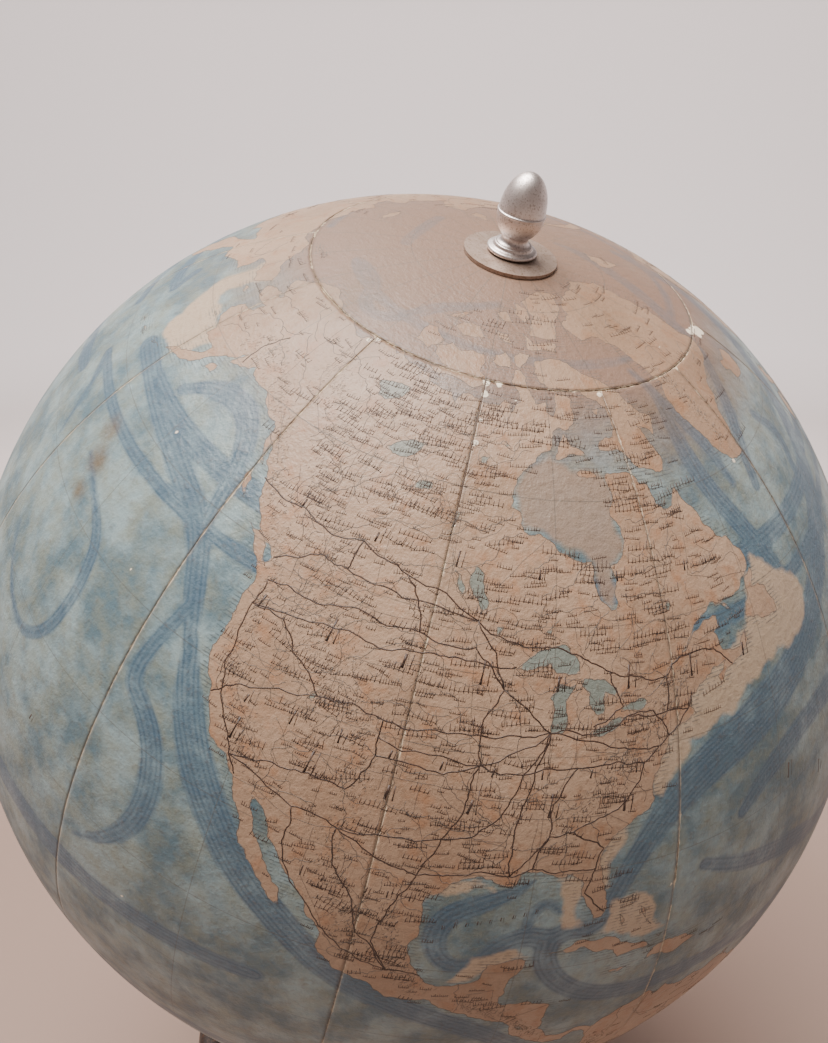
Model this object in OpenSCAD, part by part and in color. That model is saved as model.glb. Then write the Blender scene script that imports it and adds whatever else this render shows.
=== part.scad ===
// Terrestrial globe of pasted paper gores, turning on an inclined steel rod in a turned wooden stand.
// Origin: centre of the felt under the base, on the table. +Z up. The north pole leans towards +X.

/* [Globe] */
// Radius over the printed paper; 127.3 gives a circumference of 800
globe_r = 127.3; // [120:0.1:135]
// How far the two poles are flattened, under the polar caps
pole_sink = 2.4; // [0.5:0.1:3.5]
// Lean of the globe's axis from the vertical, in degrees
axis_tilt = 23.5; // [20:0.5:27]
// Number of printed gores round the globe
gore_count = 12; // [12]
// Latitude where the gores end and the polar caps begin
cap_latitude = 70; // [66:1:74]
// Angle of the first gore seam about the axis, with the globe at rest
seam_angle = -33; // [-45:1:45]
// Thickness of the printed paper and its varnish
paper_t = 0.3; // [0.2:0.05:0.5]
// Thickness of the plaster coat
plaster_t = 1.5; // [1:0.1:2.5]
// Thickness of the papier-mache shell
shell_t = 3.5; // [2.5:0.1:5]

/* [Axle] */
// Diameter of the steel rod
rod_d = 6; // [5:0.5:6]
// Diameter of the threaded spigot that the finial screws onto
spigot_d = 3.5; // [3:0.1:4]
// Running clearance round the rod, on the radius
running_gap = 0.05; // [0.03:0.01:0.1]
// Diameter of the flanges of the two pole bushes
flange_d = 21; // [16:1:24]
// Diameter of the bushes' barrels
bush_d = 10; // [9:0.5:12]
// Length of the bushes' barrels
bush_l = 14; // [10:1:15]

/* [Finial] */
// Diameter of the rim round the acorn
acorn_d = 10.6; // [9:0.1:12]
// Height of the acorn's cup, from its seat to the rim
cup_h = 6.4; // [5:0.1:8]
// Height of the acorn's dome above the rim
dome_h = 8.6; // [6:0.1:10]
// Diameter of the stepped seat under it
seat_d = 11.2; // [9:0.1:14]

/* [Stand] */
// Diameter of the base
base_d = 170; // [150:1:200]
// Height of the base, felt included
base_h = 30; // [26:1:36]
// Thickness of the felt
felt_t = 2; // [1:0.5:3]
// Height at which the globe's axis crosses the column's
socket_z = 140; // [130:1:160]
// Radius of the ball at the top of the column
ball_r = 17; // [15:0.5:20]
// Diameter of the column's tenon
tenon_d = 20; // [16:1:24]
// Depth of the tenon in the base
tenon_l = 18; // [14:1:20]

/* [Hidden] */
$fn = 96;
// gap between glued or seated pieces, on the radius
seat_gap = 0.02;

// distances along the globe's axis, from its crossing with the column's
ferrule_top = ball_r + 4;
collar_foot = ferrule_top + 3;
collar_h = 7;
leather_t = 1.5;
flange_t = 0.8;
south_pole = collar_foot + collar_h + leather_t + flange_t;
globe_s = south_pole + globe_r - pole_sink;
north_pole = globe_s + globe_r - pole_sink;
end_play = 0.15;
shoulder = north_pole + flange_t + end_play;
seat_foot_h = 1.1;
seat_step_h = 0.9;
finial_foot = shoulder + seat_foot_h + seat_step_h;
thread_pitch = 0.7;
spigot_l = 9.6;
thread_grooves = 9;
rod_foot = -12;

// depths of the layers' faces under the printed surface
plaster_in = paper_t + plaster_t;
shell_in = plaster_in + shell_t;
shell_in_r = globe_r - shell_in;
gore_a = 360 / gore_count;

// the flattened poles: a rounder sphere of radius flat_r that meets the globe at the caps' edge,
// with its centre flat_drop beyond the globe's
cap_rise = globe_r - pole_sink - globe_r * sin(cap_latitude);
flat_r = (pow(globe_r * cos(cap_latitude), 2) + pow(cap_rise, 2)) / (2 * cap_rise);
flat_drop = flat_r - globe_r + pole_sink;

// the wooden core inside the globe
block_r = 30;
block_face = globe_r - pole_sink - shell_in - 16;
core_d = 24;
core_bore = rod_d + 2;
core_socket = 6;
nail_r = 1;
nail_head_r = 2.4;
nail_l = 14;
nail_ring = 20;

// the screw that holds the column
screw_shank_d = 6;
screw_thread_d = 4;
screw_head_d = 12;
screw_head_z = felt_t + 0.6;
screw_head_h = 3.4;
tenon_foot = base_h - tenon_l;

tape_w = 24;
tape_t = 0.4;

function gore_name(i) = str("gore_", i < 10 ? "0" : "", i);

// points of an arc round c, from angle a to angle b
function arc(c, r, a, b, steps = 10) =
    [for (i = [0 : steps]) let (t = a + (b - a) * i / steps) [c[0] + r * cos(t), c[1] + r * sin(t)]];

// places its children on the globe's axis, with Z along it and 0 where it crosses the column's
module on_axis(s = 0) {
    translate([0, 0, socket_z]) rotate([0, axis_tilt, 0]) translate([0, 0, s]) children();
}

module ring(od, id, h) {
    difference() {
        cylinder(d = od, h = h);
        translate([0, 0, -1]) cylinder(d = id, h = h + 2);
    }
}

// half section of all that lies deeper than inset under the printed surface, to be turned about Z
module globe_section(inset) {
    reach = 2 * globe_r;
    difference() {
        intersection() {
            circle(r = globe_r - inset);
            translate([0, -flat_drop]) circle(r = flat_r - inset);
            translate([0, flat_drop]) circle(r = flat_r - inset);
        }
        translate([-reach, -reach]) square([reach, 2 * reach]);
    }
}

// half section of a layer between two depths
module layer_section(outer, inner) {
    difference() {
        globe_section(outer);
        globe_section(inner);
    }
}

// ---- stand ----

module base() {
    foot_r = base_d / 2;
    profile = concat(
        [[0, felt_t], [foot_r - 1.5, felt_t]],
        arc([foot_r - 1.5, felt_t + 1.5], 1.5, -90, 0, 4),
        arc([foot_r - 4, felt_t + 8], 4, 0, 90, 6),
        [[foot_r - 6, felt_t + 12], [foot_r - 6, felt_t + 13.5]],
        arc([foot_r - 6, felt_t + 23.5], 10, -90, -166, 10),
        [[foot_r - 16.5, felt_t + 21.1], [foot_r - 18, felt_t + 21.1]],
        arc([foot_r - 20.5, felt_t + 21.1], 2.5, 0, 90, 6),
        [[foot_r - 34, base_h - 4.2], [40, base_h - 3], [33, base_h - 3]],
        arc([33, base_h - 1.5], 1.5, -90, -180, 4),
        [[31.5, base_h], [0, base_h]]);
    color("#241c17") difference() {
        rotate_extrude() polygon(profile);
        translate([0, 0, tenon_foot]) cylinder(d = tenon_d + 2 * seat_gap, h = tenon_l + 1);
        translate([0, 0, -1]) cylinder(d = screw_shank_d + 2 * seat_gap, h = base_h);
        translate([0, 0, -1]) cylinder(d = screw_head_d + 1, h = screw_head_z + 1);
        translate([0, 0, screw_head_z]) cylinder(
            d1 = screw_head_d + 2 * seat_gap, d2 = screw_shank_d + 2 * seat_gap, h = screw_head_h);
    }
}

module base_felt() {
    color("#2f4a37") cylinder(d = base_d - 8, h = felt_t - seat_gap);
}

module column() {
    ball_foot = socket_z - sqrt(ball_r * ball_r - 100);
    profile = concat(
        [[0, tenon_foot + 0.2], [tenon_d / 2, tenon_foot + 0.2]],
        [[tenon_d / 2, base_h + seat_gap], [26, base_h + seat_gap]],
        arc([26, base_h + 3], 3, -90, 90, 8),
        [[24, base_h + 6], [24, base_h + 7.5]],
        arc([24, base_h + 18.5], 11, -90, -166, 8),
        [[12.2, base_h + 19]],
        arc([12, base_h + 22.5], 3.5, -90, 90, 8),
        [[11.5, base_h + 26]],
        vase(base_h + 27, 112, 11.5, 8.5, 22),
        [[8.5, 113]],
        arc([10, 115.5], 2.5, -90, 90, 8),
        [[9, 118], [9, 120.5]],
        arc([9.5, 122], 1.5, -90, 90, 6),
        [[10, ball_foot]],
        arc([0, socket_z], ball_r, -acos(10 / ball_r), 90, 20));
    color("#241c17") difference() {
        rotate_extrude() polygon(profile);
        on_axis(rod_foot - 1) cylinder(d = rod_d + 2 * seat_gap, h = ball_r + 20);
        on_axis(ball_r - 2) cylinder(d = 14 + 2 * seat_gap, h = 20);
        on_axis(-4) rotate([90, 0, 0]) cylinder(d = 2 + 2 * seat_gap, h = 60, center = true);
        translate([0, 0, 5]) cylinder(d = screw_thread_d + 2 * seat_gap, h = base_h + 20);
    }
}

// belly of the baluster: low and full at the foot, drawn out to a thin neck
function vase(z0, z1, r0, r1, r_max, steps = 22) =
    [for (i = [1 : steps]) let (t = i / steps, lean = pow(t, 0.62))
        [r0 + (r1 - r0) * t + (r_max - (r0 + r1) / 2) * pow(sin(180 * lean), 1.6), z0 + (z1 - z0) * t]];

// countersunk wood screw that draws the column down onto the base
module column_screw() {
    color("#8a8680") difference() {
        union() {
            translate([0, 0, screw_head_z])
                cylinder(d1 = screw_head_d, d2 = screw_shank_d, h = screw_head_h);
            translate([0, 0, screw_head_z + screw_head_h])
                cylinder(d = screw_shank_d, h = tenon_foot - screw_head_z - screw_head_h);
            translate([0, 0, tenon_foot]) cylinder(d = screw_thread_d, h = 28);
            translate([0, 0, tenon_foot + 28]) cylinder(d1 = screw_thread_d, d2 = 0.6, h = 5);
        }
        translate([-screw_head_d, -0.6, felt_t]) cube([2 * screw_head_d, 1.2, 1.7]);
    }
}

module rod_ferrule() {
    profile = concat(
        [[rod_d / 2 + seat_gap, 0], [7, 0], [7, 3.4]],
        arc([7, 4.4], 1, -90, 90, 6),
        [[5.6, 5.4]],
        arc([5.6 - 0.6, 5.4], 0.6, 0, 90, 4),
        [[rod_d / 2 + seat_gap, 6]]);
    color("#b9b4ae") on_axis(ball_r - 2) rotate_extrude() polygon(profile);
}

module rod_pin() {
    color("#b9b4ae") on_axis(-4) rotate([90, 0, 0]) cylinder(d = 2, h = 2 * ball_r - 3, center = true);
}

module axis_rod() {
    color("#a8a39c") difference() {
        union() {
            on_axis(rod_foot) cylinder(d = rod_d, h = shoulder - rod_foot);
            on_axis(shoulder) cylinder(d = spigot_d, h = spigot_l);
        }
        on_axis(-4) rotate([90, 0, 0]) cylinder(d = 2 + 2 * seat_gap, h = 20, center = true);
        for (k = [0 : thread_grooves - 1])
            on_axis(shoulder + 2.6 + k * thread_pitch)
                ring(spigot_d + 1, spigot_d - 0.6, thread_pitch / 2);
    }
}

module thrust_collar() {
    color("#b9b4ae") on_axis(collar_foot) difference() {
        rotate_extrude() polygon(concat(
            [[rod_d / 2 + seat_gap, 0]],
            arc([6.2, 0.8], 0.8, -90, 0, 4),
            arc([6.2, collar_h - 0.8], 0.8, 0, 90, 4),
            [[rod_d / 2 + seat_gap, collar_h]]));
        translate([0, 0, collar_h / 2]) rotate([0, 90, 0]) cylinder(d = 3, h = 20);
    }
}

module collar_set_screw() {
    color("#6f6b66") on_axis(collar_foot) difference() {
        translate([rod_d / 2 + 0.05, 0, collar_h / 2]) rotate([0, 90, 0]) cylinder(d = 2.94, h = 3.8);
        translate([rod_d / 2 + 3.2, -2, collar_h / 2 - 0.3]) cube([2, 4, 0.6]);
    }
}

module thrust_washer() {
    color("#6b4a2f") on_axis(collar_foot + collar_h + 0.01) ring(15, rod_d + 0.4, leather_t - 0.03);
}

// ---- globe ----

// flanged bush; its flange is domed to the flattened pole's curve
module pole_bush() {
    color("#b3aca2") difference() {
        union() {
            intersection() {
                translate([0, 0, -flat_r]) difference() {
                    sphere(r = flat_r + flange_t);
                    sphere(r = flat_r + 0.03);
                }
                translate([0, 0, -3]) cylinder(d = flange_d, h = 6);
            }
            translate([0, 0, -bush_l]) cylinder(d = bush_d, h = bush_l + 0.5);
        }
        translate([0, 0, -bush_l - 1]) cylinder(d = rod_d + 2 * running_gap, h = bush_l + 4);
    }
}

module north_pole_bush() {
    on_axis(north_pole) pole_bush();
}

module south_pole_bush() {
    on_axis(south_pole) rotate([180, 0, 0]) pole_bush();
}

module hemisphere() {
    difference() {
        rotate_extrude() intersection() {
            layer_section(plaster_in, shell_in);
            translate([0, 0.01]) square(2 * globe_r);
        }
        cylinder(d = bush_d + 2 * seat_gap, h = 2 * globe_r);
        core_nail_places() core_nail(seat_gap);
    }
}

module upper_hemisphere() {
    color("#8d7a63") on_axis(globe_s) hemisphere();
}

module lower_hemisphere() {
    color("#8d7a63") on_axis(globe_s) rotate([180, 0, 0]) hemisphere();
}

module equator_tape() {
    color("#c9bb9c") on_axis(globe_s) intersection() {
        rotate_extrude() layer_section(shell_in + seat_gap, shell_in + tape_t);
        cylinder(r = globe_r, h = tape_w, center = true);
    }
}

module core_tube() {
    color("#b58f62") on_axis(globe_s - block_face + 0.1 - core_socket)
        ring(core_d, core_bore, 2 * (block_face + core_socket) - 0.2);
}

// turned block glued inside the shell at a pole, with sockets for the bush and the core tube
module core_block() {
    color("#b58f62") difference() {
        intersection() {
            translate([0, 0, -flat_drop]) sphere(r = flat_r - shell_in - seat_gap);
            translate([0, 0, block_face]) cylinder(r = block_r, h = 40);
        }
        translate([0, 0, block_face - 1]) cylinder(d = core_d + 2 * seat_gap, h = core_socket + 1);
        cylinder(d = bush_d + 2 * seat_gap, h = 2 * globe_r);
        core_nail_places() core_nail(seat_gap);
    }
}

module north_core_block() {
    on_axis(globe_s) core_block();
}

module south_core_block() {
    on_axis(globe_s) rotate([180, 0, 0]) core_block();
}

// a nail driven in from outside the shell at 0, its head flush with it
module core_nail(grow = 0) {
    translate([0, 0, -nail_l]) cylinder(r = nail_r + grow, h = nail_l - 0.5);
    translate([0, 0, -0.9 - grow]) cylinder(r = nail_head_r + grow, h = 0.85 + grow);
}

module core_nail_places() {
    shell_out = flat_r - plaster_in;
    for (i = [0 : 3])
        translate([0, 0, -flat_drop]) rotate([0, 0, 45 + 90 * i])
            rotate([0, asin(nail_ring / shell_out), 0]) translate([0, 0, shell_out]) children();
}

module north_core_nails() {
    color("#77716a") on_axis(globe_s) core_nail_places() core_nail();
}

module south_core_nails() {
    color("#77716a") on_axis(globe_s) rotate([180, 0, 0]) core_nail_places() core_nail();
}

module plaster_coat() {
    color("#e4dccb") on_axis(globe_s) difference() {
        rotate_extrude() layer_section(paper_t + seat_gap / 2, plaster_in - seat_gap / 2);
        cylinder(d = bush_d + 2 * seat_gap, h = 3 * globe_r, center = true);
    }
}

// one twelfth of the printed band between the two caps
module gore(i) {
    far = 2 * globe_r;
    tone = i % 2 == 0 ? "#8fa3a0" : "#97aaa6";
    color(tone) on_axis(globe_s) rotate([0, 0, seam_angle + gore_a * (i - 1)])
        rotate_extrude(angle = gore_a) intersection() {
            layer_section(0, paper_t);
            polygon([[0, 0], [far * cos(cap_latitude), -far * sin(cap_latitude)], [far, 0],
                     [far * cos(cap_latitude), far * sin(cap_latitude)]]);
        }
}

module polar_cap() {
    cap_rim = globe_r * cos(cap_latitude);
    intersection() {
        rotate_extrude() layer_section(0, paper_t);
        difference() {
            cylinder(r1 = 0, r2 = 2 * cap_rim, h = 2 * globe_r * sin(cap_latitude));
            cylinder(d = bush_d + 2 * seat_gap, h = 3 * globe_r);
        }
    }
}

module north_polar_cap() {
    color("#b8a58c") on_axis(globe_s) polar_cap();
}

module south_polar_cap() {
    color("#b8a58c") on_axis(globe_s) rotate([180, 0, 0]) polar_cap();
}

// ---- finial ----

// stepped washer that the acorn tightens against the rod's shoulder
module finial_seat() {
    bore_r = spigot_d / 2 + running_gap;
    profile = concat(
        [[bore_r, 0.01], [seat_d / 2 - 0.5, 0.01]],
        arc([seat_d / 2 - 0.5, 0.51], 0.5, -90, 70, 6),
        [[4.6, seat_foot_h - 0.05], [4.3, seat_foot_h + 0.2]],
        arc([3.9, finial_foot - shoulder - 0.41], 0.4, 0, 90, 4),
        [[bore_r, finial_foot - shoulder - 0.01]]);
    color("#b9b4ae") on_axis(shoulder) rotate_extrude() polygon(profile);
}

// acorn nut: a neck that opens into an oval cup, a raised rim and an oval dome
module finial_nut() {
    rim_r = acorn_d / 2;
    cup_r = rim_r - 0.1;
    dome_r = rim_r - 0.25;
    neck_r = 3;
    cup_depth = cup_h - 1.6;
    cup_end = acos(neck_r / cup_r);
    profile = concat(
        [[0, 0], [3.7, 0]],
        arc([4.2, 1.15], 1.25, 246, 172, 6),
        [for (a = [cup_end : -cup_end / 10 : 0.1])
            [cup_r * cos(a), cup_h - cup_depth * sin(a) / sin(cup_end)]],
        arc([rim_r - 0.3, cup_h + 0.3], 0.3, -60, 70, 5),
        [for (a = [0 : 6 : 90]) [dome_r * cos(a), cup_h + 0.6 + (dome_h - 0.6) * sin(a)]]);
    color("#b9b4ae") on_axis(finial_foot) difference() {
        rotate_extrude() polygon(profile);
        translate([0, 0, -1]) cylinder(d = spigot_d + 2 * running_gap, h = 9);
    }
}

base();
base_felt();
column();
column_screw();
rod_ferrule();
rod_pin();
axis_rod();
thrust_collar();
collar_set_screw();
thrust_washer();
south_pole_bush();
north_pole_bush();
finial_seat();
finial_nut();
upper_hemisphere();
lower_hemisphere();
equator_tape();
core_tube();
north_core_block();
south_core_block();
north_core_nails();
south_core_nails();
plaster_coat();
north_polar_cap();
south_polar_cap();
for (i = [1 : gore_count])
    gore(i);
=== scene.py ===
"""A printed desktop globe on its turned stand: papers, inks, metals and woods round the CAD frame."""

import math

import bpy
import numpy as np
from mathutils import Matrix, Vector


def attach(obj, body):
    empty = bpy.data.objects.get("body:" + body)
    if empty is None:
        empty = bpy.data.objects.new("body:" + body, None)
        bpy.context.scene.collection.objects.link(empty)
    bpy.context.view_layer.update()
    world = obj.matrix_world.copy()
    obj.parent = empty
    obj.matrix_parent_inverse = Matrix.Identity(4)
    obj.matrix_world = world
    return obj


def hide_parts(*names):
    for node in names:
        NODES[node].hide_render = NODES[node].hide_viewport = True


bl_info = {
    "name": "Desktop globe on stand",
    "version": (1, 0, 0),
    "blender": (4, 5, 0),
    "location": "3D View > Sidebar > Globe",
    "description": "Paper map, inks, metals and woods of a desktop globe on a turned stand",
    "category": "Object",
}

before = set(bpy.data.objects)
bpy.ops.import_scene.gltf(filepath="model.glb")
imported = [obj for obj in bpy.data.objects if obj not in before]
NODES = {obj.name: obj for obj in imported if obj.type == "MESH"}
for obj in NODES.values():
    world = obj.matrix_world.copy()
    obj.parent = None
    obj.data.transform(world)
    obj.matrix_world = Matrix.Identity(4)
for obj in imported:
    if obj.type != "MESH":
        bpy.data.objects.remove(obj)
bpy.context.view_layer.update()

# Sizes of the ball in millimetres, the same as the CAD frame's.
MM = 0.001
BALL_R = 127.3
POLE_SINK = 2.4
CAP_LAT = 70.0
CAP_COLAT = math.radians(90 - CAP_LAT)
PAPER_T = 0.3
TILT = math.radians(23.5)
SOCKET_Z = 140.0
CENTRE_S = 158.2
MM_PER_DEG = BALL_R * math.pi / 180
CAP_RISE = BALL_R - POLE_SINK - BALL_R * math.cos(CAP_COLAT)
CAP_RIM = BALL_R * math.sin(CAP_COLAT)
FLAT_R = (CAP_RIM**2 + CAP_RISE**2) / (2 * CAP_RISE)
FLAT_DROP = FLAT_R - BALL_R + POLE_SINK
FLAT_EDGE = math.asin(CAP_RIM / FLAT_R)
BARREL_R = 5.1

# The globe's own axes, one a row, and its centre.
AXES = np.array([
    [math.cos(TILT), 0, -math.sin(TILT)],
    [0, 1, 0],
    [math.sin(TILT), 0, math.cos(TILT)],
])
CENTRE = np.array([CENTRE_S * math.sin(TILT), 0, SOCKET_Z + CENTRE_S * math.cos(TILT)])

# Turn of the printed map on the ball, and the first seam between two gores, in degrees.
PRIME_TURN = 69.6
FIRST_SEAM = -102.6
GORE_SPAN = 30.0
GORES = 12

# Share of a seam's open gap that each of its two papers gives.
GAP_SHARE = 0.2

# The printed surface lies a little under the CAD ball, so that its waves and the ink stay inside.
PAPER_SINK = 0.075
INK_LIFT = 0.035

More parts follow.
